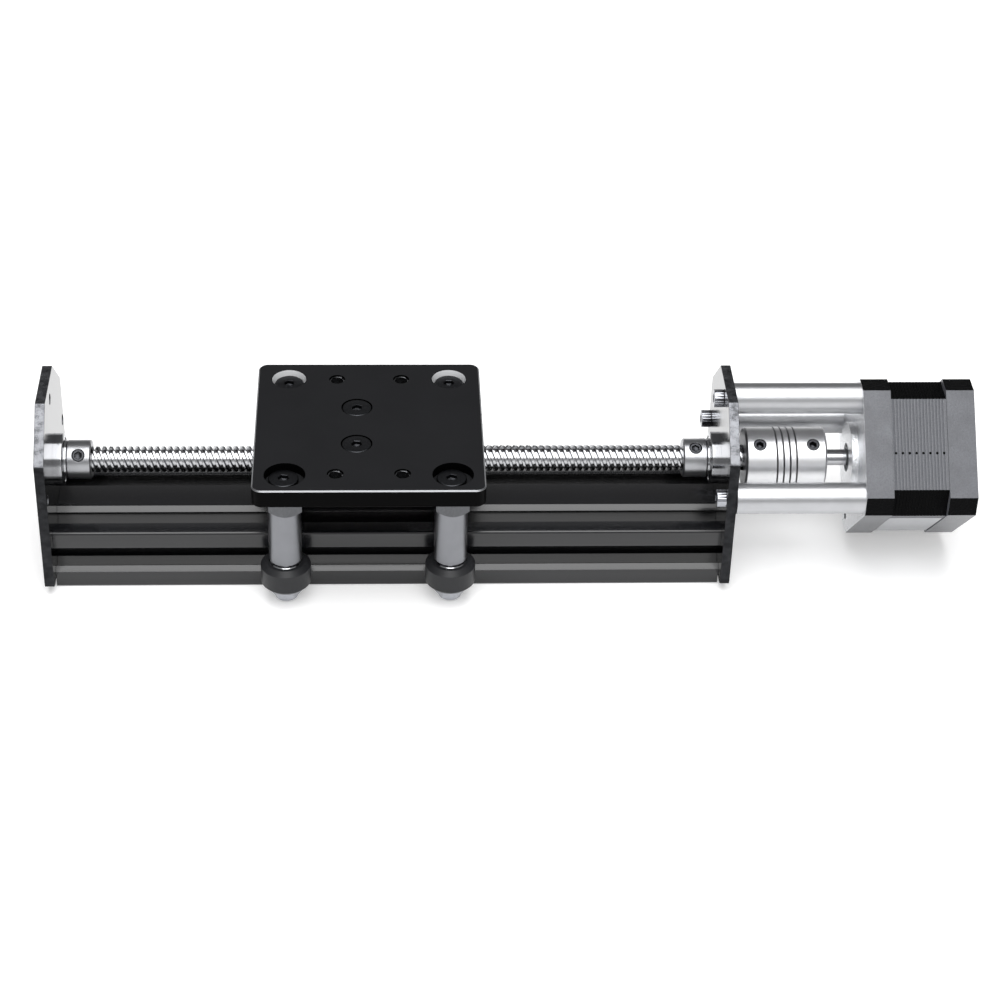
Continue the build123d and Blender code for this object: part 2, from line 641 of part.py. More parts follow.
def motor_rear_bell():
    """Rear bell with the sunk case screws' holes and the notch for the connector socket."""
    body = bell(MOTOR_REAR_BELL, BELL_WALL + WAVE_WASHER)
    body -= Pos(0, 0, BELL_WALL) * rod(MOTOR_BEARING_OUTER, WAVE_WASHER)
    for place in around(Pos(0, 0, 0), MOTOR_HOLE_RADIUS, start=MOTOR_HOLE_ANGLE):
        body -= place * rod(M3_CLEARANCE, MOTOR_REAR_BELL)
        body -= place * rod(M3_HEAD + M3_CLEARANCE - M3_THREAD, CASE_SCREW_SINK)
    inward = (Align.MAX, Align.CENTER, Align.CENTER)
    notch = Box(SOCKET_ROOT_DEPTH, SOCKET_WIDTH, SOCKET_AXIAL, align=inward)
    body -= Pos(MOTOR_SIZE / 2, 0, MOTOR_REAR_BELL / 2) * notch
    return Pos(0, 0, MOTOR_LENGTH) * Rot(180, 0, 0) * body


def motor_stator():
    """Lamination stack with eight wound poles that face the rotor across the air gap."""
    windows = Circle(WINDING_WINDOW / 2) - Circle(POLE_SHOE_RADIUS)
    pole = Rectangle(2 * WINDING_DEPTH, POLE_WIDTH)
    for item in around(pole, POLE_SHOE_RADIUS + WINDING_DEPTH / 2, POLE_COUNT):
        windows -= item
    outline = motor_outline(STACK_CORNER, STACK_INSET) - Circle(ROTOR_BORE / 2) - windows
    opening = Rectangle(2 * POLE_SHOE, POLE_OPENING)
    between = 180 / POLE_COUNT
    for item in around(opening, POLE_SHOE_RADIUS - POLE_SHOE / 2, POLE_COUNT, start=between):
        outline -= item
    for hole in around(Circle(M3_CLEARANCE / 2), MOTOR_HOLE_RADIUS, start=MOTOR_HOLE_ANGLE):
        outline -= hole
    return Pos(0, 0, MOTOR_FRONT_BELL) * extrude(outline, MOTOR_STACK)


def motor_coils():
    """One winding round each pole of the stack."""
    depth = WINDING_DEPTH - 2 * COIL_GAP - COIL_BACK_GAP
    inner = Rectangle(MOTOR_STACK + 2 * COIL_GAP, POLE_WIDTH + 2 * COIL_GAP)
    outer_width = POLE_WIDTH + 2 * (COIL_GAP + COIL_SIDE)
    outer = RectangleRounded(MOTOR_STACK + 2 * COIL_END, outer_width, COIL_SIDE / 2)
    coil = Rot(0, 90, 0) * extrude(outer - inner, depth)
    centre = Pos(0, 0, MOTOR_FRONT_BELL + MOTOR_STACK / 2)
    return [centre * item for item in around(coil, POLE_SHOE_RADIUS + COIL_GAP, POLE_COUNT)]


def motor_bearings():
    """Outer and inner rings of the two motor bearings, in the motor's frame."""
    outer, inner = bearing(
        SHAFT_DIAMETER,
        MOTOR_BEARING_OUTER,
        MOTOR_BEARING_WIDTH,
        MOTOR_BEARING_INNER_LAND,
        MOTOR_BEARING_OUTER_LAND,
    )
    front = Pos(0, 0, BELL_WALL)
    rear = Pos(0, 0, MOTOR_LENGTH - BELL_WALL - WAVE_WASHER - MOTOR_BEARING_WIDTH)
    return [front * outer, rear * outer], [front * inner, rear * inner]


def motor_shaft():
    """Motor shaft from inside the coupling to the rear bearing."""
    shaft = rod(SHAFT_DIAMETER, SHAFT_LENGTH + MOTOR_LENGTH - BELL_WALL - WAVE_WASHER)
    shaft = chamfer(shaft.edges().filter_by(GeomType.CIRCLE), HEAD_EDGE)
    return Pos(0, 0, -SHAFT_LENGTH) * shaft


def rotor():
    """Two iron rotor cups and the magnet between them, on the motor shaft."""
    middle = MOTOR_FRONT_BELL + MOTOR_STACK / 2
    cup = tube(ROTOR_DIAMETER, SHAFT_DIAMETER, ROTOR_CUP_LENGTH)
    magnet = tube(ROTOR_DIAMETER - 2 * ROTOR_MAGNET_RECESS, SHAFT_DIAMETER, ROTOR_MAGNET_LENGTH)
    half = ROTOR_MAGNET_LENGTH / 2
    cups = [Pos(0, 0, middle + half) * cup, Pos(0, 0, middle - half - ROTOR_CUP_LENGTH) * cup]
    return cups, Pos(0, 0, middle - half) * magnet


def case_screws():
    """Four long screws from the rear bell through the stack into the front bell."""
    seat = MOTOR_LENGTH - CASE_SCREW_SINK
    length = seat - MOTOR_FRONT_BELL + CASE_SCREW_GRIP
    screw = m3_screw(length)
    return [Pos(0, 0, seat) * item for item in around(screw, MOTOR_HOLE_RADIUS, start=MOTOR_HOLE_ANGLE)]


def connector_socket():
    """Open plastic socket in the rear bell's notch, and its row of pins."""
    low = (Align.MIN, Align.CENTER, Align.CENTER)
    root = Pos(MOTOR_SIZE / 2 - SOCKET_ROOT_DEPTH, 0, MOTOR_LENGTH - MOTOR_REAR_BELL / 2)
    reach = SOCKET_ROOT_DEPTH + SOCKET_PROUD
    shell = Box(reach, SOCKET_WIDTH, SOCKET_AXIAL, align=low)
    inside = Box(reach, SOCKET_WIDTH - 2 * SOCKET_WALL, SOCKET_AXIAL - 2 * SOCKET_WALL, align=low)
    shell -= Pos(SOCKET_ROOT_DEPTH, 0, 0) * inside
    pin = Box(PIN_LENGTH, PIN_SIZE, PIN_SIZE, align=low)
    first = -PIN_PITCH * (PIN_COUNT - 1) / 2
    pins = [root * Pos(SOCKET_ROOT_DEPTH, first + PIN_PITCH * i, 0) * pin for i in range(PIN_COUNT)]
    return root * shell, pins


def free_holes(shape, place):
    """Copies of a shape at the motor's mounting holes, all but the lowest, which the rail's end covers."""
    copies = [place * item for item in around(shape, MOTOR_HOLE_RADIUS, start=MOUNT_HOLE_ANGLE)]
    return sorted(copies, key=lambda item: item.center().Z)[1:]


def standoffs():
    """Three round standoffs between the right end plate and the motor, with their through screws."""
    post = tube(STANDOFF_OUTER, M3_CLEARANCE, STANDOFF_LENGTH)
    length = END_PLATE_THICKNESS + STANDOFF_LENGTH + MOTOR_SCREW_GRIP
    screw = Rot(180, 0, 0) * m3_screw(length)
    return free_holes(post, along_x(MOTOR_PLATE_OUT)), free_holes(screw, along_x(RAIL_END))


def build_nodes():
    """Every sub-part by the name of its node."""
    nodes = {"rail": rail(), "end_plate_right": Pos(RAIL_END, 0, AXIS_Z) * end_plate()}
    nodes["end_plate_left"] = mirrored(nodes["end_plate_right"])
    nodes["rail_end_screws"] = end_screws()
    rings = end_bearings()
    nodes["end_bearing_outer_rings"], nodes["end_bearing_inner_rings"], nodes["end_bearing_balls"] = rings
    nodes["lead_screw"] = lead_screw()
    nodes["lock_collars"], nodes["collar_set_screws"], nodes["screw_shims"] = collars()
    nodes["shaft_coupling"], nodes["coupling_set_screws"] = coupling_set()
    nodes["gantry_plate"] = gantry_plate()
    nodes["nut_block"] = nut_block()
    nodes["nut_block_screws"] = nut_block_screws()
    nodes.update(axle_hardware())
    wheels, nodes["wheel_bearing_inner_rings"], nodes["wheel_shims"] = wheel_sets()
    for name, (wheel, outer_rings) in wheels.items():
        nodes[f"v_wheel_{name}"] = wheel
        nodes[f"wheel_bearings_{name}"] = outer_rings
    nodes["motor_standoffs"], nodes["motor_mount_screws"] = standoffs()
    place = motor_place()
    outer_rings, inner_rings = motor_bearings()
    cups, magnet = rotor()
    shell, pins = connector_socket()
    washer = tube(MOTOR_BEARING_OUTER, WAVE_WASHER_BORE, WAVE_WASHER)
    motor = {
        "motor_front_bell": [motor_front_bell()],
        "motor_rear_bell": [motor_rear_bell()],
        "motor_stator": [motor_stator()],
        "motor_coils": motor_coils(),
        "motor_case_screws": case_screws(),
        "motor_bearing_outer_rings": outer_rings,
        "motor_bearing_inner_rings": inner_rings,
        "motor_wave_washer": [Pos(0, 0, MOTOR_LENGTH - BELL_WALL - WAVE_WASHER) * washer],
        "motor_shaft": [motor_shaft()],
        "rotor_cups": cups,
        "rotor_magnet": [magnet],
        "connector_socket": [shell],
        "connector_pins": pins,
    }
    for name, group in motor.items():
        nodes[name] = [place * item for item in group]
    return nodes


def write_nodes():
    """Write each sub-part to parts/NODE.step, groups as one compound of separate solids."""
    os.makedirs("parts", exist_ok=True)
    for name, shape in build_nodes().items():
        if isinstance(shape, list):
            solids = [solid for item in shape for solid in item.solids()]
            shape = solids[0] if len(solids) == 1 else Compound(solids)
        export_step(shape, f"parts/{name}.step")


write_nodes()
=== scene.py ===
"""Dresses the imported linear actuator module: finishes, threads, rounded edges, lights and camera.

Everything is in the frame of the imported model: X along the rail toward the motor, -Y at the front, Z up.
Meshes are worked out in millimetres and scaled as they are written. Finishes and the studio are in metres.
"""

import logging
import math
from collections.abc import Sequence
from dataclasses import dataclass
from enum import Enum

import bmesh
import bpy
from mathutils import Matrix, Vector


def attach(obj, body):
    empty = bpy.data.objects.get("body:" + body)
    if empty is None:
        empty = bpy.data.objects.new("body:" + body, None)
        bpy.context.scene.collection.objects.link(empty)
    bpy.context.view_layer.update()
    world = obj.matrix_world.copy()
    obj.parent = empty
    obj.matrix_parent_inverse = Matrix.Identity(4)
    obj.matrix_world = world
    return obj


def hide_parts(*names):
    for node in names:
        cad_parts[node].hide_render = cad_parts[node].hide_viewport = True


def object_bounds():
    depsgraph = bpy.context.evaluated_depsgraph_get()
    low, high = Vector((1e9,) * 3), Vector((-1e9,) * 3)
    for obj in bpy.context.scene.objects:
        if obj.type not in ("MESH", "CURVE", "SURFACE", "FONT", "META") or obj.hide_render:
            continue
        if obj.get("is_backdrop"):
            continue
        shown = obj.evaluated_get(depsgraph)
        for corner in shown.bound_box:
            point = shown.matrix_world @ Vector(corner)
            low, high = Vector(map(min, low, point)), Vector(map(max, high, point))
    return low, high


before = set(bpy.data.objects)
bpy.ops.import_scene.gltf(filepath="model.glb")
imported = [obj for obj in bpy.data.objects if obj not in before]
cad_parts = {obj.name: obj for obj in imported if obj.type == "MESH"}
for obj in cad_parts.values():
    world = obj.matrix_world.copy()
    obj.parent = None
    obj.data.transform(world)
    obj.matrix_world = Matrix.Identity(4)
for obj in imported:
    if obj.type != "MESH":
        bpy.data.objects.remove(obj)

LOG = logging.getLogger("actuator")
MM = 0.001
MICRON = 0.000001

Ring = list[Vector]
Loop = list[tuple[float, float]]
Triple = tuple[float, float, float]


class Body(Enum):
    """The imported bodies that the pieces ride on."""

    FRAME = "frame"
    SCREW = "drive_screw"
    CARRIAGE = "carriage"


class Direction(Enum):
    """Axes that turning lines follow."""

    X = (1.0, 0.0, 0.0)
    Z = (0.0, 0.0, 1.0)


class Value:
    """A number, colour or vector that a shader node gives; Python arithmetic on it adds Math nodes."""

    def __init__(self, graph: "Graph", socket: bpy.types.NodeSocket) -> None:
        """Keep the socket and the graph it belongs to."""
        self.graph = graph
        self.socket = socket

    def __add__(self, other: "Value | float") -> "Value":
        """Sum."""
        return self.graph.math("ADD", self, other)

    __radd__ = __add__

    def __sub__(self, other: "Value | float") -> "Value":
        """Difference."""
        return self.graph.math("SUBTRACT", self, other)

    def __rsub__(self, other: "Value | float") -> "Value":
        """Difference from a number."""
        return self.graph.math("SUBTRACT", other, self)

    def __mul__(self, other: "Value | float") -> "Value":
        """Product."""
        return self.graph.math("MULTIPLY", self, other)

    __rmul__ = __mul__

    def __truediv__(self, other: "Value | float") -> "Value":
        """Quotient."""
        return self.graph.math("DIVIDE", self, other)

    def __pow__(self, other: "Value | float") -> "Value":
        """Power."""
        return self.graph.math("POWER", self, other)

    def __abs__(self) -> "Value":
        """Distance from zero."""
        return self.graph.math("ABSOLUTE", self)

    def __gt__(self, other: "Value | float") -> "Value":
        """1 where the value is greater, else 0."""
        return self.graph.math("GREATER_THAN", self, other)

    def __lt__(self, other: "Value | float") -> "Value":
        """1 where the value is less, else 0."""
        return self.graph.math("LESS_THAN", self, other)

    def larger(self, other: "Value | float") -> "Value":
        """The larger of two values."""
        return self.graph.math("MAXIMUM", self, other)

    def sibling(self, name: str) -> "Value":
        """Another output of the same node."""
        return Value(self.graph, self.socket.node.outputs[name])


Input = Value | float | tuple[float, ...]


class Graph:
    """Node tree of a material or the world, built from expressions."""

    def __init__(self, tree: bpy.types.NodeTree) -> None:
        """Start an empty tree."""
        self.tree = tree
        tree.nodes.clear()

    def node(
        self,
        kind: str,
        settings: dict[str, object] | None = None,
        inputs: dict[int | str, Input] | None = None,
        output: int | str = 0,
    ) -> Value | None:
        """Add a node.

        Args:
            kind: The node's type name.
            settings: Its properties, set first.
            inputs: Numbers or links for its sockets.
            output: The socket that the result stands for.

        Returns:
            The chosen output, or None for an end node.
        """
        made = self.tree.nodes.new(kind)
        for key, setting in (settings or {}).items():
            setattr(made, key, setting)
        for key, given in (inputs or {}).items():
            if isinstance(given, Value):
                self.tree.links.new(given.socket, made.inputs[key])
            else:
                made.inputs[key].default_value = given
        return Value(self, made.outputs[output]) if made.outputs else None

    def math(self, operation: str, first: Input, second: Input = 0.0) -> Value:
        """Math node on one or two values."""
        return self.node("ShaderNodeMath", {"operation": operation}, {0: first, 1: second})

    def blend(self, factor: Input, first: Input, second: Input) -> Value:
        """Mix of two colours.

        Args:
            factor: 0 for the first colour, 1 for the second.
            first: A colour or a link.
            second: A colour or a link.

        Returns:
            The mixed colour.
        """
        first = (*first, 1.0) if isinstance(first, tuple) else first
        second = (*second, 1.0) if isinstance(second, tuple) else second
        inputs = {"Factor": factor, 6: first, 7: second}
        return self.node("ShaderNodeMix", {"data_type": "RGBA"}, inputs, output=2)

    def place(self) -> Value:
        """Coordinates of the point on its own object, in metres."""
        return self.node("ShaderNodeTexCoord", output="Object")

    def facing(self) -> Value:
        """Normal of the point on its own object."""
        return self.node("ShaderNodeTexCoord", output="Normal")

    def axes(self, vector: Value) -> tuple[Value, Value, Value]:
        """The three numbers of a vector."""
        split = self.node("ShaderNodeSeparateXYZ", inputs={0: vector})
        return split, split.sibling("Y"), split.sibling("Z")

    def along(self, vector: Value, direction: Triple) -> Value:
        """Length of a vector along a direction."""
        inputs = {0: vector, 1: direction}
        return self.node("ShaderNodeVectorMath", {"operation": "DOT_PRODUCT"}, inputs, output="Value")

    def grain(self, size: float | Triple, detail: float = 2.0) -> Value:
        """Noise with features of a given size.

        Args:
            size: Feature size in metres, or one each along X, Y and Z.
            detail: Number of finer layers.

        Returns:
            The noise, about 0 to 1.
        """
        sizes = size if isinstance(size, tuple) else (size, size, size)
        inputs = {0: self.place(), 1: tuple(1.0 / part for part in sizes)}
        scaled = self.node("ShaderNodeVectorMath", {"operation": "MULTIPLY"}, inputs)
        return self.node("ShaderNodeTexNoise", inputs={"Vector": scaled, "Scale": 1.0, "Detail": detail})

    def span(self, value: Value, start: float, end: float) -> Value:
        """Smooth step from 0 at one number to 1 at another."""
        settings = {"interpolation_type": "SMOOTHSTEP"}
        return self.node("ShaderNodeMapRange", settings, {0: value, 1: start, 2: end, 3: 0.0, 4: 1.0})

    def relief(self, height: Value, depth: float, radius: float = 0.0) -> Value:
        """Normal of a surface raised by a height of 0 to 1, over edges that are rounded.

        Args:
            height: The relief.
            depth: Its full depth in metres.
            radius: Radius of the edges in metres, or 0 to leave them.

        Returns:
            The new normal.
        """
        inputs = {"Height": height, "Distance": depth, "Strength": 1.0}
        if radius:
            inputs["Normal"] = self.node("ShaderNodeBevel", {"samples": 4}, {"Radius": radius})
        return self.node("ShaderNodeBump", inputs=inputs)

    def surface(self, inputs: dict[int | str, Input]) -> None:
        """Principled shader with the given sockets, wired to the output."""
        shader = self.node("ShaderNodeBsdfPrincipled", inputs=inputs)
        self.node("ShaderNodeOutputMaterial", inputs={"Surface": shader})


@dataclass(frozen=True)
class Finish:
    """A surface finish; each kind paints its own nodes.

    Attributes:
        name: Name of the material.
        colour: Base colour, linear.
        roughness: Middle of the roughness.
    """

    name: str
    colour: Triple
    roughness: float

    def material(self) -> bpy.types.Material:
        """Give the material, which is made at its first use.

        Returns:
            The material.
        """
        found = bpy.data.materials.get(self.name)
        if found is None:
            found = bpy.data.materials.new(self.name)
            found.use_nodes = True
            self.paint(Graph(found.node_tree))
        return found

    def paint(self, graph: Graph) -> None:
        """Fill the node tree."""
        raise NotImplementedError

    def tone(self, light: float) -> Triple:
        """The base colour times a factor."""
        return tuple(min(channel * light, 1.0) for channel in self.colour)

    def shaded(self, graph: Graph, mask: Value, light: float) -> Value:
        """The base colour where a mask is 0, and its tone of a factor where the mask is 1."""
        return graph.blend(mask, self.colour, self.tone(light))

    def uneven(self, grain: Value, spread: float) -> Value:
        """Roughness that follows a grain, half of the spread to either side."""
        return self.roughness - spread / 2 + grain * spread


@dataclass(frozen=True)
class Anodised(Finish):
    """Dyed anodised aluminium, satin from blasting or with faint lines from the die.

    Attributes:
        grain: Feature sizes of its texture.
        specular: Strength of its reflection at right angles.
        edge: Radius that its edges are rounded by.
    """

    grain: Triple
    specular: float
    edge: float = 0.12 * MM


@dataclass(frozen=True)
class AnodisedRail(Anodised):
    """Rail's finish, glossy outside, and duller inside its slots, where painted shade darkens the colour.

    Attributes:
        skin: Depth that the gloss reaches into the slots, before the painted shade begins.
        width: Half the rail's width.
        height: The rail's height.
        gloss: Weight of the gloss outside.
    """

    skin: float = 1.5 * MM
    width: float = 20.0 * MM
    height: float = 20.0 * MM
    gloss: float = 0.8

    def paint(self, graph: Graph) -> None:
        """Near-black base with faint lines from the die, a gloss that stops inside the slots, and painted
        shade in the slots.
        """
        _, y, z = graph.axes(graph.place())
        # inside: the slots' hollows, whose colour drops to 0.4 of itself as painted shade, with no gloss
        inside = (abs(y) < self.width - self.skin) * (z < self.height - self.skin) * (z > self.skin)
        fine = graph.grain(self.grain)
        cloud = graph.grain((20 * MM, 12 * MM, 12 * MM), detail=3.0)
        graph.surface(
            {
                "Base Color": graph.blend(inside, self.shaded(graph, cloud, 1.5), self.tone(0.4)),
                "Roughness": self.uneven(fine, 0.12),
                "Specular IOR Level": self.specular,
                "Coat Weight": self.gloss - inside * self.gloss,
                "Coat Roughness": self.roughness,
                "Normal": graph.relief(fine, 12 * MICRON, self.edge),
            }
        )


@dataclass(frozen=True)
class AnodisedPlate(Anodised):
    """Carriage plate's finish, with painted shade on its sides and painted highlights on its rear
    counterbores and upward chamfers.

    Attributes:
        bores: Centres of the counterbores that get the painted highlight.
        bore_radius: Their radius, a little over the real one.
        bore_low: Height of their floor.
        bare_metal_and_highlight: Colour of the painted highlight on the counterbores' walls.
        wear_and_highlight: Colour of the upward chamfers, worn in patches and lit by a painted highlight.
    """

    bores: tuple[tuple[float, float], ...] = ()
    bore_radius: float = 5.4 * MM
    bore_low: float = 42.9 * MM
    bare_metal_and_highlight: Triple = (0.86, 0.87, 0.88)
    wear_and_highlight: Triple = (0.24, 0.245, 0.255)

    def paint(self, graph: Graph) -> None:
        """Dark satin base with painted shade on faces that do not point up, a painted highlight on the rear
        counterbores' walls, and patchy wear with a painted highlight on the upward chamfers.
        """
        x, y, z = graph.axes(graph.place())
        inside = None
        for bore_x, bore_y in self.bores:
            distance = ((x - bore_x) ** 2.0 + (y - bore_y) ** 2.0) ** 0.5
            near = distance < self.bore_radius
            inside = near if inside is None else inside.larger(near)
        _, _, up = graph.axes(graph.facing())
        # Walls of the rear counterbores turn near-white: a painted highlight.
        bare_metal_and_highlight = inside * (z > self.bore_low) * (up < 0.5)
        rub = graph.grain(4 * MM, detail=4.0)
        # Patches on the upward chamfers: wear, and a painted highlight where they face the light.
        wear_and_highlight = (up > 0.3) * (up < 0.9) * (rub > 0.3)
        fine = graph.grain(self.grain)
        cloud = graph.grain(20 * MM, detail=3.0)
        # Faces that do not point up get a tenth of the colour: painted shade on the plate's front, sides and
        # underside.
        top = graph.blend(up > 0.9, self.tone(0.1), self.shaded(graph, cloud, 1.4))
        dye_with_painted_light = graph.blend(wear_and_highlight, top, self.wear_and_highlight)
        graph.surface(
            {
                "Base Color": graph.blend(bare_metal_and_highlight, dye_with_painted_light, self.bare_metal_and_highlight),
                "Metallic": wear_and_highlight,
                "Roughness": self.uneven(fine, 0.1),
                "Specular IOR Level": self.specular,
                "Normal": graph.relief(fine, 10 * MICRON, self.edge),
            }
        )


@dataclass(frozen=True)
class PolishedPlate(Finish):
    """End plate: mirror-black faces, and sawn edges that stay dull and grainy, with a painted highlight in
    their specks on the upward edges and chamfers.

    Attributes:
        sanded_and_sheen: Colour of the specks on its edges, grain with a painted highlight that is strongest
            on the upward edges and chamfers.
        gloss: Weight of the clear gloss on its faces.
    """

    sanded_and_sheen: Triple = (0.22, 0.225, 0.24)
    gloss: float = 0.2

    def paint(self, graph: Graph) -> None:
        """Black metal under a clear coat on the faces, grainy on the edges, with painted highlight specks on
        the upward edges.
        """
        x, y, z = graph.axes(graph.facing())
        edge = abs(x) < 0.6
        fine = graph.grain(0.25 * MM, detail=3.0)
        cloud = graph.grain((3 * MM, 2 * MM, 2 * MM))
        chamfer = edge * (abs(y) > 0.3) * (z > 0.3)
        sawn = graph.blend(edge, self.colour, self.tone(0.3))
        # Specks weighted by facing, strongest on the chamfers and then the top edges: a painted highlight.
        specks_and_sheen = (fine * cloud * 4.0 - 0.35) * edge * ((z > 0.3) * 0.5 + chamfer * 0.6 + 0.1)
        graph.surface(
            {
                "Base Color": graph.blend(specks_and_sheen, sawn, self.sanded_and_sheen),
                "Metallic": 1.0,
                "Roughness": self.roughness + edge * (0.16 + fine * 0.2),
                "Coat Weight": self.gloss - edge * self.gloss,
                "Coat Roughness": 0.04,
                "Normal": graph.relief(fine * edge, 30 * MICRON, 0.15 * MM),
            }
        )


@dataclass(frozen=True)
class TurnedMetal(Finish):
    """Metal turned on a lathe, with fine lines round its axis and a satin grain.

    Attributes:
        axis: The axis that it was turned on.
        line: Width of the turning lines.
        satin: Feature size of the grain.
        depth: Depth of the texture.
    """

    axis: Direction = Direction.X
    line: float = 0.12 * MM
    satin: float = 0.3 * MM
    depth: float = 3 * MICRON

    def paint(self, graph: Graph) -> None:
        """Bright metal with lines round the axis."""
        lines = graph.grain(tuple(self.line if part else 1.0 for part in self.axis.value), detail=3.0)
        satin = graph.grain(self.satin, detail=3.0)
        cloud = graph.grain(6 * MM, detail=3.0)
        texture = lines * 0.5 + satin * 0.5
        graph.surface(
            {
                "Base Color": self.shaded(graph, cloud, 0.82),
                "Metallic": 1.0,
                "Roughness": self.roughness - 0.05 + texture * 0.12,
                "Normal": graph.relief(texture, self.depth, 0.12 * MM),
            }
        )


@dataclass(frozen=True)
class Plated(Finish):
    """Zinc-plated or black-oxide steel, or another metal with an uneven skin.

    Attributes:
        contrast: Factor of the colour in the patches.
    """

    contrast: float = 0.7

    def paint(self, graph: Graph) -> None:
        """Metal with patchy colour and gloss."""
        patches = graph.grain(0.8 * MM, detail=4.0)
        graph.surface(
            {
                "Base Color": self.shaded(graph, patches, self.contrast),
                "Metallic": 1.0,
                "Roughness": self.uneven(patches, 0.16),
                "Normal": graph.relief(patches, 8 * MICRON, 0.1 * MM),
            }
        )


@dataclass(frozen=True)
class Moulded(Finish):
    """Moulded or turned plastic.

    Attributes:
        specular: Strength of its reflection at right angles.
    """

    specular: float = 0.5

    def paint(self, graph: Graph) -> None:
        """Plastic with a fine matt texture."""
        fine = graph.grain(0.2 * MM, detail=3.0)
        cloud = graph.grain(3 * MM)
        graph.surface(
            {
                "Base Color": self.shaded(graph, cloud, 1.25),
                "Roughness": self.uneven(fine, 0.12),
                "Specular IOR Level": self.specular,
                "Normal": graph.relief(fine, 10 * MICRON, 0.18 * MM),
            }
        )


@dataclass(frozen=True)
class MotorPaint(Finish):
    """Dark paint of the motor, glossy on the wide faces, with painted shade that makes the narrow flats
    nearly black.

    Attributes:
        gloss: Weight of the gloss on the wide faces.
    """

    gloss: float = 0.8

    def cover(self, graph: Graph, wide: Value, paint: Value, spot: Value, under: Triple) -> dict[str, Input]:
        """Colour and gloss of the paint, and of the spots that it leaves out.

        Args:
            graph: The tree.
            wide: 1 on the wide faces, 0 on the flats.
            paint: Colour on the wide faces.
            spot: 1 where the paint is missing, and in the stack's dimples, which get painted shade.
            under: Colour of such spots.

        Returns:
            Inputs of the shader.
        """
        return {
            # The narrow flats get 3 % of the colour: painted shade.
            "Base Color": graph.blend(spot, graph.blend(wide, self.tone(0.03), paint), under),
            "Specular IOR Level": 0.03,
            "Coat Weight": wide * (self.gloss - spot * self.gloss),
            "Coat Roughness": self.roughness,
        }


@dataclass(frozen=True)
class CastPaint(MotorPaint):
    """Motor bell: painted casting, with a bare machined mounting face.

    Attributes:
        face_x: Where the mounting face lies along X; faces before it are bare.
        bare_metal_and_highlight: Colour of the bare metal.
    """

    face_x: float = 0.0
    bare_metal_and_highlight: Triple = (0.74, 0.75, 0.77)

    def paint(self, graph: Graph) -> None:
        """Fine orange-peel paint, and turned metal on the mounting face."""
        x, _, _ = graph.axes(graph.place())
        _, out_y, out_z = graph.axes(graph.facing())
        bare_metal_and_highlight = x < self.face_x + 0.04 * MM
        wide = (abs(out_y) < 0.85) * (abs(out_z) < 0.85)
        peel = graph.grain(0.5 * MM, detail=3.0)
        cloud = graph.grain(6 * MM, detail=3.0)
        paint = self.shaded(graph, cloud * peel * 2.0, 1.8)
        graph.surface(
            {
                **self.cover(graph, wide, paint, bare_metal_and_highlight, self.bare_metal_and_highlight),
                "Metallic": bare_metal_and_highlight,
                "Roughness": self.uneven(peel, 0.1) - bare_metal_and_highlight * 0.12,
                "Normal": graph.relief(peel, 300 * MICRON, 0.3 * MM),
            }
        )


@dataclass(frozen=True)
class Laminations(MotorPaint):
    """Painted lamination stack with a row of small interlocking dimples on its upper faces.

    Attributes:
        first: Place of the first dimple along X.
        pitch: Distance between dimples.
        count: Number of dimples in a row.
        face: Distance from the axis beyond which the dimples show.
        offset: Place of the row across the face.
        axis_z: Height of the motor's axis.
        radius: Radius of a dimple.
        sheet: Thickness of a sheet.
    """

    first: float = 153.4 * MM
    pitch: float = 2.1 * MM
    count: int = 8
    face: float = 20.4 * MM
    offset: float = 2.7 * MM
    axis_z: float = 33.7 * MM
    radius: float = 0.4 * MM
    sheet: float = 0.5 * MM

    def paint(self, graph: Graph) -> None:
        """Grainy dark paint on fine ridges, with painted shade in the grooves between sheets and in the
        dimples.
        """
        place = graph.place()
        x, _, _ = graph.axes(place)
        half = math.sqrt(0.5)
        out = graph.along(place, (0.0, -half, half)) - self.axis_z * half
        across = graph.along(place, (0.0, half, half)) - self.axis_z * half
        step = (x - self.first) / self.pitch + 0.5
        near = graph.math("FLOOR", step)
        along = (step - near - 0.5) * self.pitch
        distance = (along ** 2.0 + (across + self.offset) ** 2.0) ** 0.5
        row = (near > -0.5) * (near < self.count - 0.5)
        dot = (distance < self.radius) * row * (out > self.face)
        _, out_y, out_z = graph.axes(graph.facing())
        wide = abs(abs(out_y) - abs(out_z)) < (abs(out_y) + abs(out_z)) * 0.5
        speckle = graph.grain(0.3 * MM, detail=4.0)
        ridge = graph.math("SINE", x * (math.tau / self.sheet)) * 0.5 + 0.5
        # Colour lighter on the ridges and darker in the grooves between sheets: painted shade.
        paint = self.shaded(graph, speckle * (0.5 + ridge), 3.0)
        graph.surface(
            {
                # The dimples get black colour and no gloss: painted shade in them.
                **self.cover(graph, wide, paint, dot, (0.0, 0.0, 0.0)),
                "Roughness": self.uneven(speckle, 0.2),
                "Normal": graph.relief(speckle * 1.5 + ridge * 0.4 - dot, 120 * MICRON),
            }
        )


@dataclass(frozen=True)
class Foil(Finish):
    """Blank silver label."""

    def paint(self, graph: Graph) -> None:
        """Satin foil with faint waves where it follows the stack under it."""
        wave = graph.grain((1.2 * MM, 4 * MM, 4 * MM))
        fine = graph.grain(0.3 * MM)
        graph.surface(
            {
                "Base Color": self.shaded(graph, wave, 0.9),
                "Metallic": 0.6,
                "Roughness": self.roughness + fine * 0.08,
                "Normal": graph.relief(wave, 40 * MICRON),
            }
        )


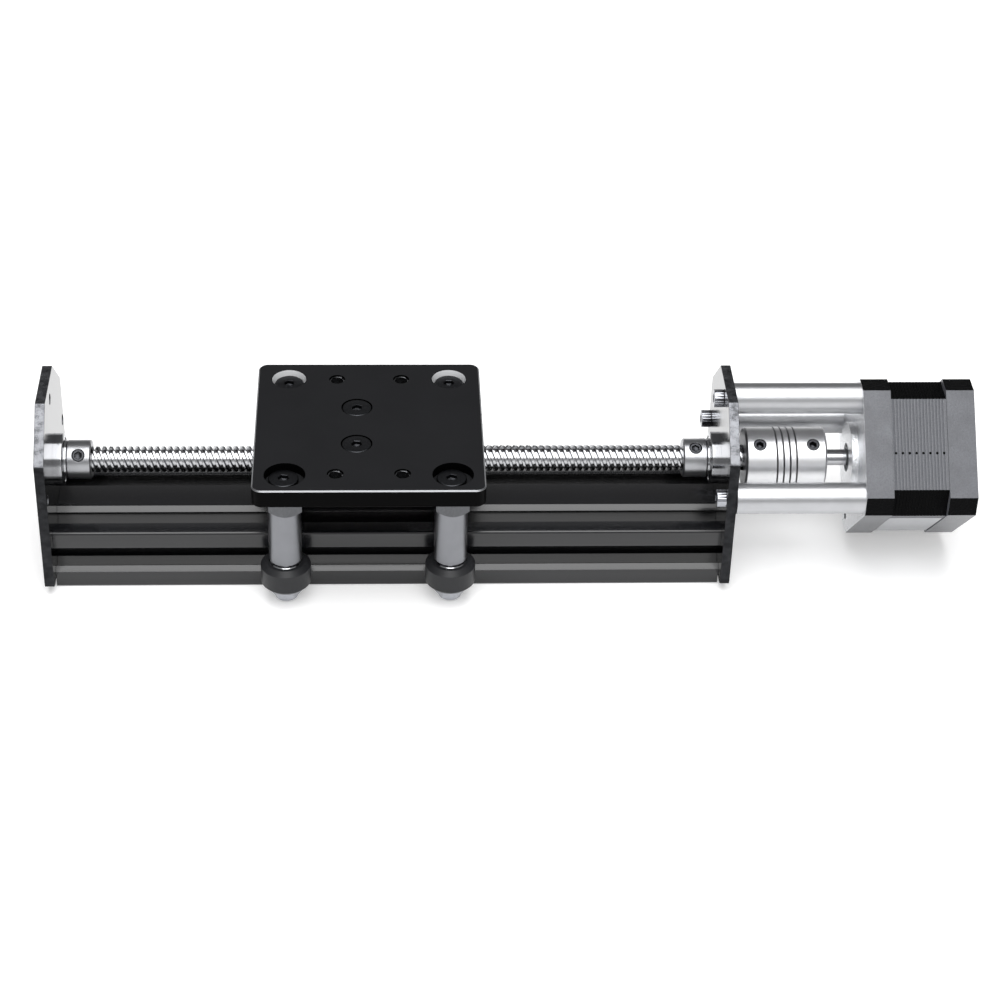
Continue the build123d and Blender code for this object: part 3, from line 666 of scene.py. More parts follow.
DIE_LINES = (30 * MM, 0.22 * MM, 0.22 * MM)
BLACK_RAIL = AnodisedRail("black_anodised_rail", (0.005, 0.0052, 0.0062), 0.2, DIE_LINES, 0.2)
BLACK_PLASTIC = Moulded("black_acetal", (0.015, 0.0155, 0.017), 0.42, 0.3)
NUT_PLASTIC = Moulded("black_nut_plastic", (0.012, 0.012, 0.013), 0.5, 0.35)
CREAM_PLASTIC = Moulded("cream_plastic", (0.78, 0.74, 0.62), 0.4)
END_PLATE = PolishedPlate("polished_black_plate", (0.03, 0.031, 0.034), 0.16)
GROUND_STEEL = TurnedMetal("ground_steel", (0.42, 0.425, 0.44), 0.14, line=0.2 * MM)
ROLLED_STEEL = TurnedMetal("rolled_screw_steel", (0.48, 0.485, 0.5), 0.18, line=0.4 * MM)
RING_STEEL_Z = TurnedMetal("ring_steel_z", (0.45, 0.455, 0.47), 0.16, Direction.Z)
ALUMINIUM_X = TurnedMetal(
    "turned_aluminium_x", (0.38, 0.385, 0.4), 0.3, satin=0.4 * MM, depth=10 * MICRON
)
ALUMINIUM_BEAM = TurnedMetal(
    "blasted_aluminium_x", (0.76, 0.765, 0.78), 0.38, satin=0.4 * MM, depth=20 * MICRON
)
ALUMINIUM_POST = TurnedMetal(
    "satin_aluminium_x", (0.48, 0.485, 0.5), 0.34, satin=0.6 * MM, depth=40 * MICRON
)
ALUMINIUM_Z = TurnedMetal(
    "satin_aluminium_z", (0.23, 0.235, 0.25), 0.32, Direction.Z, satin=0.5 * MM, depth=60 * MICRON
)
ZINC = Plated("zinc_plated", (0.42, 0.43, 0.46), 0.24)
# Eccentric spacers: colour darkened as painted shade from the plate over them.
SHADED_HEXAGON_STEEL = Plated("shaded_hexagon_steel", (0.12, 0.123, 0.13), 0.3)
TAPPED_METAL = Plated("tapped_metal", (0.13, 0.133, 0.14), 0.35)
BLACK_OXIDE = Plated("black_oxide", (0.03, 0.031, 0.034), 0.32, contrast=1.8)
COPPER = Plated("enamelled_copper", (0.72, 0.3, 0.12), 0.3)
MAGNET = Plated("sintered_magnet", (0.16, 0.16, 0.17), 0.5, contrast=0.8)
STACK_PAINT = Laminations("lamination_paint", (0.048, 0.05, 0.056), 0.4)
BELL_PAINT = (0.078, 0.081, 0.09)
LABEL_FOIL = Foil("silver_label", (0.5, 0.51, 0.53), 0.3)


class Solid:
    """A mesh made from rings of points, in millimetres."""

    def __init__(self) -> None:
        """Start with no points."""
        self.mesh = bmesh.new()

    def loft(self, rings: Sequence[Ring], wrap: bool = False) -> "Solid":
        """Skin rings that have as many points each.

        Args:
            rings: The rings in order.
            wrap: Whether the last ring joins the first; else both are closed with a face.

        Returns:
            The solid itself.
        """
        rows = [[self.mesh.verts.new(point) for point in ring] for ring in rings]
        pairs = list(zip(rows, rows[1:]))
        if wrap:
            pairs.append((rows[-1], rows[0]))
        for low, high in pairs:
            for i in range(len(low)):
                j = (i + 1) % len(low)
                self.mesh.faces.new((low[i], low[j], high[j], high[i]))
        if not wrap:
            self.mesh.faces.new(reversed(rows[0]))
            self.mesh.faces.new(rows[-1])
        return self

    def copies(self, places: Sequence[Matrix]) -> "Solid":
        """Put a copy at each place instead of the one at the origin.

        Args:
            places: Matrices in millimetres.

        Returns:
            The solid itself.
        """
        source = bpy.data.meshes.new("copy")
        self.mesh.to_mesh(source)
        self.mesh.clear()
        for place in places:
            placed = source.copy()
            placed.transform(place)
            self.mesh.from_mesh(placed)
            bpy.data.meshes.remove(placed)
        bpy.data.meshes.remove(source)
        return self

    def absorb(self, other: "Solid") -> "Solid":
        """Take in another solid's faces.

        Args:
            other: The solid, which is empty afterwards.

        Returns:
            The solid itself.
        """
        source = bpy.data.meshes.new("part")
        other.mesh.to_mesh(source)
        self.mesh.from_mesh(source)
        bpy.data.meshes.remove(source)
        other.mesh.free()
        return self

    def object(self, name: str, finish: Finish, angle: float) -> bpy.types.Object:
        """Write the mesh in metres as an object of the scene.

        Args:
            name: The object's name.
            finish: Its finish.
            angle: Edges sharper than this many degrees stay sharp.

        Returns:
            The new object.
        """
        bmesh.ops.recalc_face_normals(self.mesh, faces=self.mesh.faces)
        data = bpy.data.meshes.new(name)
        self.mesh.to_mesh(data)
        self.mesh.free()
        data.transform(Matrix.Scale(MM, 4))
        data.shade_smooth()
        data.set_sharp_from_angle(angle=math.radians(angle))
        data.materials.append(finish.material())
        made = bpy.data.objects.new(name, data)
        bpy.context.scene.collection.objects.link(made)
        return made


def circle(radius: float, count: int, z: float = 0.0) -> Ring:
    """Points on a circle about Z, counter-clockwise."""
    turns = [math.tau * i / count for i in range(count)]
    return [Vector((radius * math.cos(turn), radius * math.sin(turn), z)) for turn in turns]


def hexagon(flats: float, count: int, z: float = 0.0) -> Ring:
    """Points on a hexagon about Z, as many as on the circle that it joins.

    Args:
        flats: Width across the flats.
        count: Number of points, a multiple of 6.
        z: Height.

    Returns:
        The ring.
    """
    ring = []
    for i in range(count):
        angle = math.tau * i / count
        within = (angle + math.pi / 6) % (math.pi / 3) - math.pi / 6
        radius = flats / 2 / math.cos(within)
        ring.append(Vector((radius * math.cos(angle), radius * math.sin(angle), z)))
    return ring


def hole(centre: tuple[float, float], radius: float, count: int = 24) -> Loop:
    """Round hole in the plane.

    Args:
        centre: Its middle.
        radius: Its radius.
        count: Number of its points.

    Returns:
        The points, counter-clockwise.
    """
    turns = [math.tau * i / count for i in range(count)]
    return [(centre[0] + radius * math.cos(turn), centre[1] + radius * math.sin(turn)) for turn in turns]


def rounded(points: Loop, radius: float | Sequence[float], steps: int = 3) -> Loop:
    """Outline with its corners rounded.

    Args:
        points: Corners in order.
        radius: One radius, or one for each corner.
        steps: Chords per corner.

    Returns:
        The rounded outline.
    """
    radii = [radius] * len(points) if isinstance(radius, float) else radius
    outline = []
    for i, corner in enumerate(points):
        here = Vector(corner)
        back = (Vector(points[i - 1]) - here).normalized()
        ahead = (Vector(points[(i + 1) % len(points)]) - here).normalized()
        half = back.angle(ahead) / 2
        reach = radii[i] / math.tan(half)
        first = here + back * reach
        last = here + ahead * reach
        centre = here + (back + ahead).normalized() * (radii[i] / math.sin(half))
        for k in range(steps + 1):
            spoke = first.lerp(last, k / steps) - centre
            outline.append(tuple(centre + spoke.normalized() * radii[i]))
    return outline


def slab(loops: Sequence[Loop], thickness: float, edge: float, place: Matrix) -> Solid:
    """Flat piece with holes and rounded edges.

    Args:
        loops: The outline and its holes, in the plane.
        thickness: Its full thickness, centred on the plane.
        edge: Radius of the rounded edges.
        place: Where it goes, in millimetres.

    Returns:
        The solid.
    """
    curve = bpy.data.curves.new("slab", "CURVE")
    curve.dimensions = "2D"
    curve.fill_mode = "BOTH"
    curve.extrude = thickness / 2 - edge
    curve.bevel_depth = edge
    curve.bevel_resolution = 1
    curve.offset = -edge
    for loop in loops:
        spline = curve.splines.new("POLY")
        spline.points.add(len(loop) - 1)
        spline.use_cyclic_u = True
        for point, (u, v) in zip(spline.points, loop):
            point.co = (u, v, 0.0, 1.0)
    carrier = bpy.data.objects.new("slab", curve)
    data = bpy.data.meshes.new_from_object(carrier)
    data.transform(place)
    solid = Solid()
    solid.mesh.from_mesh(data)
    bmesh.ops.remove_doubles(solid.mesh, verts=solid.mesh.verts, dist=0.002)
    bpy.data.objects.remove(carrier)
    bpy.data.curves.remove(curve)
    bpy.data.meshes.remove(data)
    return solid


def turned(along: Vector, origin: Vector) -> Matrix:
    """Place whose Z axis points along a direction."""
    return Matrix.Translation(origin) @ Vector((0, 0, 1)).rotation_difference(along).to_matrix().to_4x4()


def cross_section() -> Matrix:
    """Turn that lays the plane's first axis along Y, its second along Z and its normal along X."""
    return Matrix(((0, 0, 1, 0), (1, 0, 0, 0), (0, 1, 0, 0), (0, 0, 0, 1)))


@dataclass(frozen=True)
class Thread:
    """Screw thread of one or more starts.

    Attributes:
        diameter: Over the crests.
        depth: Height of the thread.
        pitch: Distance between neighbouring crests.
        starts: Number of starts.
        crest: Share of the pitch that the crest takes.
        flank: Share of the pitch that one flank takes.
    """

    diameter: float
    depth: float
    pitch: float
    starts: int = 1
    crest: float = 0.3
    flank: float = 0.2

    def section(self, count: int) -> list[tuple[float, float]]:
        """Angle and radius of points round the bar.

        Args:
            count: Points for each start.

        Returns:
            Pairs of an angle in radians and a radius.
        """
        corners = (0.0, self.crest, self.crest + self.flank, 1.0 - self.flank, 1.0)
        heights = (0.0, 0.0, 1.0, 1.0, 0.0)
        points = []
        for start in range(self.starts):
            for i in range(4):
                for k in range(count // 4):
                    within = k / (count // 4)
                    share = corners[i] + (corners[i + 1] - corners[i]) * within
                    sink = heights[i] + (heights[i + 1] - heights[i]) * within
                    angle = math.tau * (start + share) / self.starts
                    points.append((angle, self.diameter / 2 - self.depth * sink))
        return points

    def rings(self, low: float, high: float, bevel: float, count: int, per_turn: int) -> list[Ring]:
        """Rings of a threaded bar along Z, bevelled at both ends.

        Args:
            low: Its lower end.
            high: Its upper end.
            bevel: Size of the end bevels.
            count: Points for each start.
            per_turn: Rings for each turn.

        Returns:
            The rings from low to high.
        """
        lead = self.pitch * self.starts
        steps = max(2, round((high - low) / lead * per_turn))
        heights = [low + (high - low) * i / steps for i in range(steps + 1)]
        section = self.section(count)
        rings = []
        for z in sorted([*heights, low + bevel, high - bevel]):
            reach = self.diameter / 2 - max(0.0, bevel - min(z - low, high - z))
            ring = []
            for angle, radius in section:
                turn = angle + math.tau * z / lead
                kept = min(radius, reach)
                ring.append(Vector((kept * math.cos(turn), kept * math.sin(turn), z)))
            rings.append(ring)
        return rings


M5 = Thread(4.96, 0.4, 0.8)
M3 = Thread(2.96, 0.28, 0.5)
LEAD = Thread(8.0, 1.05, 2.0, starts=4, flank=0.14)


def socket_rings(width: float, top: float, depth: float, cone: float, count: int) -> list[Ring]:
    """Rings of a hexagon socket with a bevelled mouth.

    Args:
        width: Across its flats.
        top: Height of its mouth.
        depth: Its depth.
        cone: Depth of the cone at its floor.
        count: Points for each ring.

    Returns:
        The rings from the mouth down.
    """
    bevel = 0.12
    return [
        hexagon(width + 2 * bevel, count, top),
        hexagon(width, count, top - bevel),
        hexagon(width, count, top - depth),
        circle(width / 8, count, top - depth - cone),
    ]


@dataclass(frozen=True)
class SocketScrew:
    """Hexagon-socket screw along Z, its head seated on Z = 0 and its shank hanging down.

    Attributes:
        thread: Its thread.
        length: Length under the head.
        threaded: Length of the modelled thread from the tip.
        head: Head diameter.
        head_height: Height of the head.
        socket: Width of the socket across its flats.
        socket_depth: Depth of the socket.
        edge: Rounding of the head's rim.
        flutes: Number of knurled flutes and ridges round the head.
        flute_depth: Share of the head's radius that the flutes cut.
        points: Points on each ring of the head.
    """

    thread: Thread
    length: float
    threaded: float
    head: float = 9.0
    head_height: float = 1.6
    socket: float = 3.0
    socket_depth: float = 1.2
    edge: float = 0.35
    flutes: int = 0
    flute_depth: float = 0.035
    points: int = 72

    def flank(self, z: float) -> Ring:
        """Give a ring of the head's side, with its knurl.

        Args:
            z: Height.

        Returns:
            The ring.
        """
        ring = circle(self.head / 2, self.points, z)
        for i, point in enumerate(ring):
            if i * self.flutes // self.points % 2:
                point.xy *= 1.0 - self.flute_depth
        return ring

    def head_solid(self) -> Solid:
        """Give the head with its rim, knurl and socket.

        Returns:
            The solid.
        """
        top = self.head_height
        radius = self.head / 2
        rings = [circle(radius - self.edge / 2, self.points)]
        rings += [self.flank(self.edge / 2), self.flank(top - self.edge)]
        for share in (0.38, 0.7, 1.0):
            angle = share * math.pi / 2
            inset = self.edge * (1 - math.cos(angle))
            rings.append(circle(radius - inset, self.points, top - self.edge * (1 - math.sin(angle))))
        rings += socket_rings(self.socket, top, self.socket_depth, self.socket / 6, self.points)
        return Solid().loft(rings)

    def shank_solid(self) -> Solid:
        """Give the shank, with the thread at its tip and its top a little inside the head.

        Returns:
            The solid.
        """
        radius = self.thread.diameter / 2
        join = self.threaded - self.length
        solid = Solid().loft(self.thread.rings(-self.length, join, self.thread.depth, 8, 12))
        return solid.absorb(Solid().loft([circle(radius, 24, join), circle(radius, 24, 0.05)]))

    def solid(self) -> Solid:
        """Head and shank together."""
        return self.head_solid().absorb(self.shank_solid())


@dataclass(frozen=True)
class SetScrew:
    """Headless hexagon-socket screw along Z, its outer end on Z = 0.

    Attributes:
        length: Its length.
        diameter: Over the thread.
        socket: Width of the socket across its flats.
        bevel: Size of the bevels at its ends.
        socket_share: Share of the length that the socket takes.
        points: Points on each ring.
    """

    length: float
    diameter: float = 3.96
    socket: float = 2.0
    bevel: float = 0.3
    socket_share: float = 0.55
    points: int = 48

    def solid(self) -> Solid:
        """Give the bevelled body with the socket.

        Returns:
            The solid.
        """
        radius = self.diameter / 2
        low = -self.length
        rings = [
            circle(radius - self.bevel, self.points, low),
            circle(radius, self.points, low + self.bevel),
            circle(radius, self.points, -self.bevel),
            circle(radius - self.bevel, self.points),
        ]
        depth = self.length * self.socket_share
        return Solid().loft(rings + socket_rings(self.socket, 0.0, depth, self.socket / 8, self.points))


@dataclass(frozen=True)
class Sizes:
    """Driving sizes of the module in millimetres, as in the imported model.

    Attributes:
        rail_length: Length of the rail.
        module: Height of the rail and half its width.
        axis_z: Height of the screw's axis.
        plate_top: Height of the carriage plate's top.
        carriage_x: Middle of the carriage along X.
        wheel_base: Distance between the axles along X.
        axle_y: Distance of the axles from the middle plane.
        front_shift: Shift of the front axles toward -X.
        end_plate: Thickness of an end plate.
        motor_face: Place of the motor's mounting face along X.
        motor_length: Length of the motor.
        motor_hole_radius: Radius of the motor's hole circle.
    """

    rail_length: float = 204.0
    module: float = 20.0
    axis_z: float = 33.7
    plate_top: float = 46.0
    carriage_x: float = -6.0
    wheel_base: float = 50.0
    axle_y: float = 25.9957
    front_shift: float = 0.4
    end_plate: float = 3.0
    motor_face: float = 144.0
    motor_length: float = 34.0
    motor_hole_radius: float = 31.0 / math.sqrt(2)

    @property
    def rail_end(self) -> float:
        """Half the rail."""
        return self.rail_length / 2

    @property
    def half(self) -> float:
        """Half the rail's module."""
        return self.module / 2

    def on_axis(self, x: float) -> Vector:
        """Point on the screw's axis."""
        return Vector((x, 0, self.axis_z))


SIZES = Sizes()


def add(
    solid: Solid, name: str, finish: Finish, body: Body, slot: str, *nodes: str, angle: float = 32.0
) -> None:
    """Write a solid as a piece on a body, and let it stand for CAD nodes.

    Args:
        solid: The solid.
        name: Name of the piece.
        finish: Its finish.
        body: The body that carries it.
        slot: Material slot of the record; not used.
        nodes: CAD nodes that it replaces.
        angle: Edges sharper than this many degrees stay sharp.
    """
    piece = solid.object(name, finish, angle)
    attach(piece, body.value)
    if nodes:
        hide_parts(*nodes)
    LOG.info("%s rides on %s with %d faces", piece.name, body.value, len(piece.data.polygons))


def dress(finish: Finish, *nodes: str) -> None:
    """Give CAD nodes a finish.

    Args:
        finish: The finish.
        nodes: Names of the nodes.
    """
    for name in nodes:
        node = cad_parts[name]
        node.data.materials.clear()
        node.data.materials.append(finish.material())
        LOG.info("%s keeps its solid, in %s", name, finish.name)


@dataclass
class RailUnit:
    """Slotted rail, its two end plates with their screws, and the screw bearings.

    Attributes:
        mouth: Width of a slot's mouth.
        throat: Width of its throat.
        lip: Thickness of its lip.
        cavity: Width of its cavity.
        depth: Depth of a slot.
        web: Thickness of the diagonal webs.
        core: Diameter of the core bores.
        nose: Rounding of the slots' outer edges.
        fillet: Rounding of their inner corners.
        corner: Rounding of the rail's corners.
        plate_width: Width of an end plate.
        plate_foot: Height of its lower edge.
        plate_rise: Height of its top over the screw's axis.
        corner_width: Width of its cut corners.
        corner_drop: Height of its cut corners.
        plate_edge: Rounding of its edges.
        seat: Diameter of the bearing seat.
        seat_depth: Depth of the bearing seat.
        lip_bore: Radius of the opening past the bearing.
        motor_hole: Radius of the motor screws' holes.
        rail_hole: Radius of the rail screws' holes.
        fit: Gap or overlap between the plate and the seat's lip.
        angle: Edges sharper than this many degrees stay sharp, so that flat faces shade flat.
        screw: The screws that hold the end plates.
    """

    mouth: float = 9.16
    throat: float = 6.25
    lip: float = 1.8
    cavity: float = 11.0
    depth: float = 6.1
    web: float = 1.5
    core: float = 5.0
    nose: float = 0.22
    fillet: float = 0.15
    corner: float = 0.6
    plate_width: float = 49.5
    plate_foot: float = 3.0
    plate_rise: float = 27.2
    corner_width: float = 14.2
    corner_drop: float = 13.3
    plate_edge: float = 0.12
    seat: float = 16.0
    seat_depth: float = 2.0
    lip_bore: float = 6.5
    motor_hole: float = 1.7
    rail_hole: float = 2.65
    fit: float = 0.02
    angle: float = 20.0
    screw: SocketScrew = SocketScrew(M5, 14.0, 11.0, socket_depth=1.04, edge=0.3)

    def slot(self) -> tuple[Loop, list[float]]:
        """Corners of a slot that opens upward at the module's top, and the radius of each.

        Returns:
            The corners from right to left, and their radii.
        """
        top = SIZES.half
        web = self.web / math.sqrt(2)
        foot = top - self.depth
        bevel = (self.mouth - self.throat) / 2
        side = [
            (self.mouth / 2, top),
            (self.throat / 2, top - bevel),
            (self.throat / 2, top - self.lip),
            (self.cavity / 2, top - self.lip),
            (self.cavity / 2, self.cavity / 2 + web),
            (foot - web, foot),
        ]
        radii = [self.nose] * 3 + [self.fillet] * 3
        return side + [(-u, v) for u, v in side[::-1]], radii + radii[::-1]

    def outline(self) -> tuple[Loop, list[float]]:
        """Outer outline of the rail with its six slots.

        Returns:
            The corners counter-clockwise, and the radius of each.
        """
        half = SIZES.half
        wide = SIZES.module
        slot, slot_radii = self.slot()
        sides = (
            (0, half, None),
            (0, -half, (-wide, half)),
            (90, -half, (-wide, -half)),
            (180, -half, None),
            (180, half, (wide, -half)),
            (270, half, (wide, half)),
        )
        corners: Loop = []
        radii: list[float] = []
        for turn, shift, corner in sides:
            cosine = math.cos(math.radians(turn))
            sine = math.sin(math.radians(turn))
            corners += [(u * cosine - v * sine + shift, u * sine + v * cosine) for u, v in slot]
            radii += slot_radii
            if corner:
                corners.append(corner)
                radii.append(self.corner)
        return corners, radii

    def rail(self) -> None:
        """The rail's profile with rounded slot edges, drawn along X."""
        half = SIZES.half
        loops = [rounded(*self.outline(), steps=2)]
        loops += [hole((y, 0), self.core / 2) for y in (-half, half)]
        foot = half - self.depth
        web = self.web / math.sqrt(2)
        wall = half - self.lip
        crown = half - wall - web
        upper = [(half - foot, foot - web), (crown, wall), (-crown, wall), (foot - half, foot - web)]
        loops.append(upper + [(-u, -v) for u, v in upper])
        place = Matrix.Translation((0, 0, half)) @ cross_section()
        solid = slab(loops, SIZES.rail_length, 0.06, place)
        add(solid, "rail_dressed", BLACK_RAIL, Body.FRAME, "black_anodised", "rail", angle=self.angle)

    def end_plate(self, side: int) -> None:
        """One end plate with its bearing seat and holes.

        Args:
            side: -1 for the idle end, 1 for the motor end.
        """
        half = self.plate_width / 2
        foot = self.plate_foot - SIZES.axis_z
        shoulder = self.plate_rise - self.corner_drop
        right = [(half, foot), (half, shoulder), (half - self.corner_width, self.plate_rise)]
        loops = [rounded(right + [(-u, v) for u, v in right[::-1]], 1.0, steps=4)]
        loops.append(hole((0, 0), self.seat / 2, 60))
        loops += [hole((point.x, point.y), self.motor_hole) for point in circle(SIZES.motor_hole_radius, 4)]
        loops += [hole((y, SIZES.half - SIZES.axis_z), self.rail_hole) for y in (-SIZES.half, SIZES.half)]
        lip_loops = [hole((0, 0), self.seat / 2 + self.fit, 60), hole((0, 0), self.lip_bore, 60)]
        lip = SIZES.end_plate - self.seat_depth
        plate_x = SIZES.rail_end + SIZES.end_plate / 2
        lip_x = SIZES.rail_end + self.seat_depth + lip / 2
        place = Matrix.Translation(SIZES.on_axis(side * plate_x)) @ cross_section()
        lip_place = Matrix.Translation(SIZES.on_axis(side * lip_x)) @ cross_section()
        solid = slab(loops, SIZES.end_plate, self.plate_edge, place)
        solid.absorb(slab(lip_loops, lip - self.fit, 0.1, lip_place))
        name = "end_plate_left" if side < 0 else "end_plate_right"
        add(solid, f"{name}_dressed", END_PLATE, Body.FRAME, "gloss_black", name, angle=self.angle)

    def screws(self) -> None:
        """Four socket screws that hold the end plates."""
        reach = SIZES.rail_end + SIZES.end_plate
        places = [
            turned(Vector((side, 0, 0)), Vector((side * reach, y, SIZES.half)))
            for side in (-1, 1)
            for y in (-SIZES.half, SIZES.half)
        ]
        solid = self.screw.solid().copies(places)
        add(solid, "rail_end_screws_dressed", BLACK_OXIDE, Body.FRAME, "black_steel", "rail_end_screws")

    def build(self) -> None:
        """Build and dress the unit."""
        self.rail()
        self.end_plate(-1)
        self.end_plate(1)
        self.screws()
        dress(GROUND_STEEL, "end_bearing_outer_rings", "end_bearing_balls")


@dataclass
class DriveScrew:
    """Lead screw with its collars, and the beam coupling.

    Attributes:
        thread: The four-start thread.
        low: Left end of the bar.
        high: Right end of the bar, inside the coupling.
        bevel: Size of its end bevels.
        collars: Place along X and angle from the top, in degrees, of each collar's screw.
        collar_reach: Distance of their outer ends from the axis.
        collar_screw: The collars' screw.
        couplings: Place along X and angle of each of the coupling's screws.
        coupling_reach: Distance of their outer ends from the axis.
        coupling_screw: The coupling's screw.
    """

    thread: Thread = LEAD
    low: float = -105.6
    high: float = 117.6
    bevel: float = 0.6
    collars: tuple[tuple[float, float], ...] = ((-94.45, 44.0), (94.45, 25.0))
    collar_reach: float = 5.7
    collar_screw: SetScrew = SetScrew(1.65)
    couplings: tuple[tuple[float, float], ...] = (
        (113.9, 31.0),
        (113.9, -59.0),
        (130.3, 31.0),
        (130.3, -59.0),
    )
    coupling_reach: float = 9.2
    coupling_screw: SetScrew = SetScrew(4.5)

    def bar(self) -> None:
        """Threaded bar along X."""
        rings = self.thread.rings(self.low, self.high, self.bevel, 12, 36)
        solid = Solid().loft(rings).copies([turned(Vector((1, 0, 0)), SIZES.on_axis(0))])
        add(solid, "lead_screw_threaded", ROLLED_STEEL, Body.SCREW, "bright_steel", "lead_screw", angle=24.0)

    def set_screws(
        self, name: str, screw: SetScrew, spots: Sequence[tuple[float, float]], reach: float
    ) -> None:
        """Set screws of one kind.

        Args:
            name: Name of their CAD node.
            screw: The screw.
            spots: Place along X and angle from the top, in degrees, of each.
            reach: Distance of their outer ends from the axis.
        """
        places = []
        for x, angle in spots:
            out = Vector((0, -math.sin(math.radians(angle)), math.cos(math.radians(angle))))
            places.append(turned(out, SIZES.on_axis(x) + out * reach))
        solid = screw.solid().copies(places)
        add(solid, f"{name}_socketed", BLACK_OXIDE, Body.SCREW, "black_steel", name)

    def build(self) -> None:
        """Build and dress the unit."""
        self.bar()
        self.set_screws("collar_set_screws", self.collar_screw, self.collars, self.collar_reach)
        self.set_screws("coupling_set_screws", self.coupling_screw, self.couplings, self.coupling_reach)
        dress(GROUND_STEEL, "end_bearing_inner_rings", "motor_bearing_inner_rings", "screw_shims")
        dress(GROUND_STEEL, "motor_shaft", "rotor_cups")
        dress(ALUMINIUM_X, "lock_collars")
        dress(ALUMINIUM_BEAM, "shaft_coupling")
        dress(MAGNET, "rotor_magnet")


@dataclass
class Carriage:
    """Plate, nut block and the four wheel stacks.

    Attributes:
        nut_x: Place of the nut block's screws.
        nut_spacing: Distance between them.
        nut_sink: Depth of their counterbores.
        nut_length: Their length.
        axle_sink: Depth of the axle screws' counterbores.
        axle_end: Height of the axle screws' tips.
        threaded: Length of the modelled thread on each screw.
        axle_turns: How far each axle screw is turned, in degrees.
        nut_turns: The same for the nut block's screws.
        plate_thickness: Thickness of the plate.
        tap_spacing: Distance between the tapped holes along X.
        tap_outer: Diameter of the tapped holes in the solid.
        tap_low: Distance of the thread from the plate's underside.
        tap_high: Distance of the thread from the plate's top.
    """

    nut_x: float = -9.75
    nut_spacing: float = 20.0
    nut_sink: float = 1.7
    nut_length: float = 14.3
    axle_sink: float = 3.0
    axle_end: float = 1.25
    threaded: float = 10.0
    axle_turns: tuple[float, ...] = (20.0, 8.0, 12.0, 30.0)
    nut_turns: tuple[float, ...] = (26.0, 4.0)
    plate_thickness: float = 6.0
    tap_spacing: float = 20.0
    tap_outer: float = 4.99
    tap_low: float = 0.4
    tap_high: float = 0.5

    def axles(self) -> Loop:
        """Give the places of the four axles.

        Returns:
            Their X and Y, the front ones first.
        """
        xs = [SIZES.carriage_x + x * SIZES.wheel_base / 2 for x in (-1, 1)]
        rows = ((-SIZES.axle_y, SIZES.front_shift), (SIZES.axle_y, 0.0))
        return [(x - shift, y) for y, shift in rows for x in xs]

    def plate(self) -> None:
        """Finish of the carriage plate, with a painted highlight in its rear counterbores."""
        # Only the rear counterbores get the painted highlight on their walls.
        bores = tuple((x * MM, y * MM) for x, y in self.axles() if y > 0)
        colour = (0.012, 0.0122, 0.0132)
        grain = (0.25 * MM, 0.25 * MM, 0.25 * MM)
        dress(AnodisedPlate("black_anodised_plate", colour, 0.42, grain, 0.03, bores=bores), "gantry_plate")

    def tapped_holes(self) -> None:
        """Thread lining of the plate's four tapped holes."""
        low = SIZES.plate_top - self.plate_thickness + self.tap_low
        inner = M5.rings(low, SIZES.plate_top - self.tap_high, 0.0, 8, 12)
        outer = [
            [Vector((*(point.xy.normalized() * (self.tap_outer / 2)), ring[0].z)) for point in ring]
            for ring in (inner[-1], inner[0])
        ]
        places = [
            Matrix.Translation((SIZES.carriage_x + x, y, 0))
            for x in (-self.tap_spacing / 2, self.tap_spacing / 2)
            for y in (-SIZES.axle_y, SIZES.axle_y)
        ]
        solid = Solid().loft(inner + outer, wrap=True).copies(places)
        add(solid, "plate_tapped_threads", TAPPED_METAL, Body.CARRIAGE, "black_anodised")

    def screws(self, name: str, length: float, z: float, spots: Loop, turns: Sequence[float]) -> None:
        """Low-head screws of one kind.

        Args:
            name: Name of their CAD node.
            length: Length under the head.
            z: Height that the heads are seated on.
            spots: Place of each along X and Y.
            turns: How far each is turned, in degrees.
        """
        places = [
            Matrix.Translation((x, y, z)) @ Matrix.Rotation(math.radians(turn), 4, "Z")
            for (x, y), turn in zip(spots, turns)
        ]
        solid = SocketScrew(M5, length, self.threaded).solid().copies(places)
        add(solid, f"{name}_dressed", BLACK_OXIDE, Body.CARRIAGE, "black_steel", name)

    def build(self) -> None:
        """Build and dress the unit."""
        self.plate()
        self.tapped_holes()
        seat = SIZES.plate_top - self.axle_sink
        self.screws("axle_screws", seat - self.axle_end, seat, self.axles(), self.axle_turns)
        seat = SIZES.plate_top - self.nut_sink
        spots = [(self.nut_x, y) for y in (-self.nut_spacing / 2, self.nut_spacing / 2)]
        self.screws("nut_block_screws", self.nut_length, seat, spots, self.nut_turns)
        dress(NUT_PLASTIC, "nut_block")
        dress(ALUMINIUM_Z, "long_spacers", "short_spacers")
        # The dark colour stands for the shade under the plate: painted shade.
        dress(SHADED_HEXAGON_STEEL, "eccentric_spacers")
        dress(ZINC, "lock_nuts")
        dress(RING_STEEL_Z, "wheel_shims", "wheel_bearing_inner_rings")
        for place in ("front_left", "front_right", "back_left", "back_right"):
            dress(BLACK_PLASTIC, f"v_wheel_{place}")
            dress(RING_STEEL_Z, f"wheel_bearings_{place}")


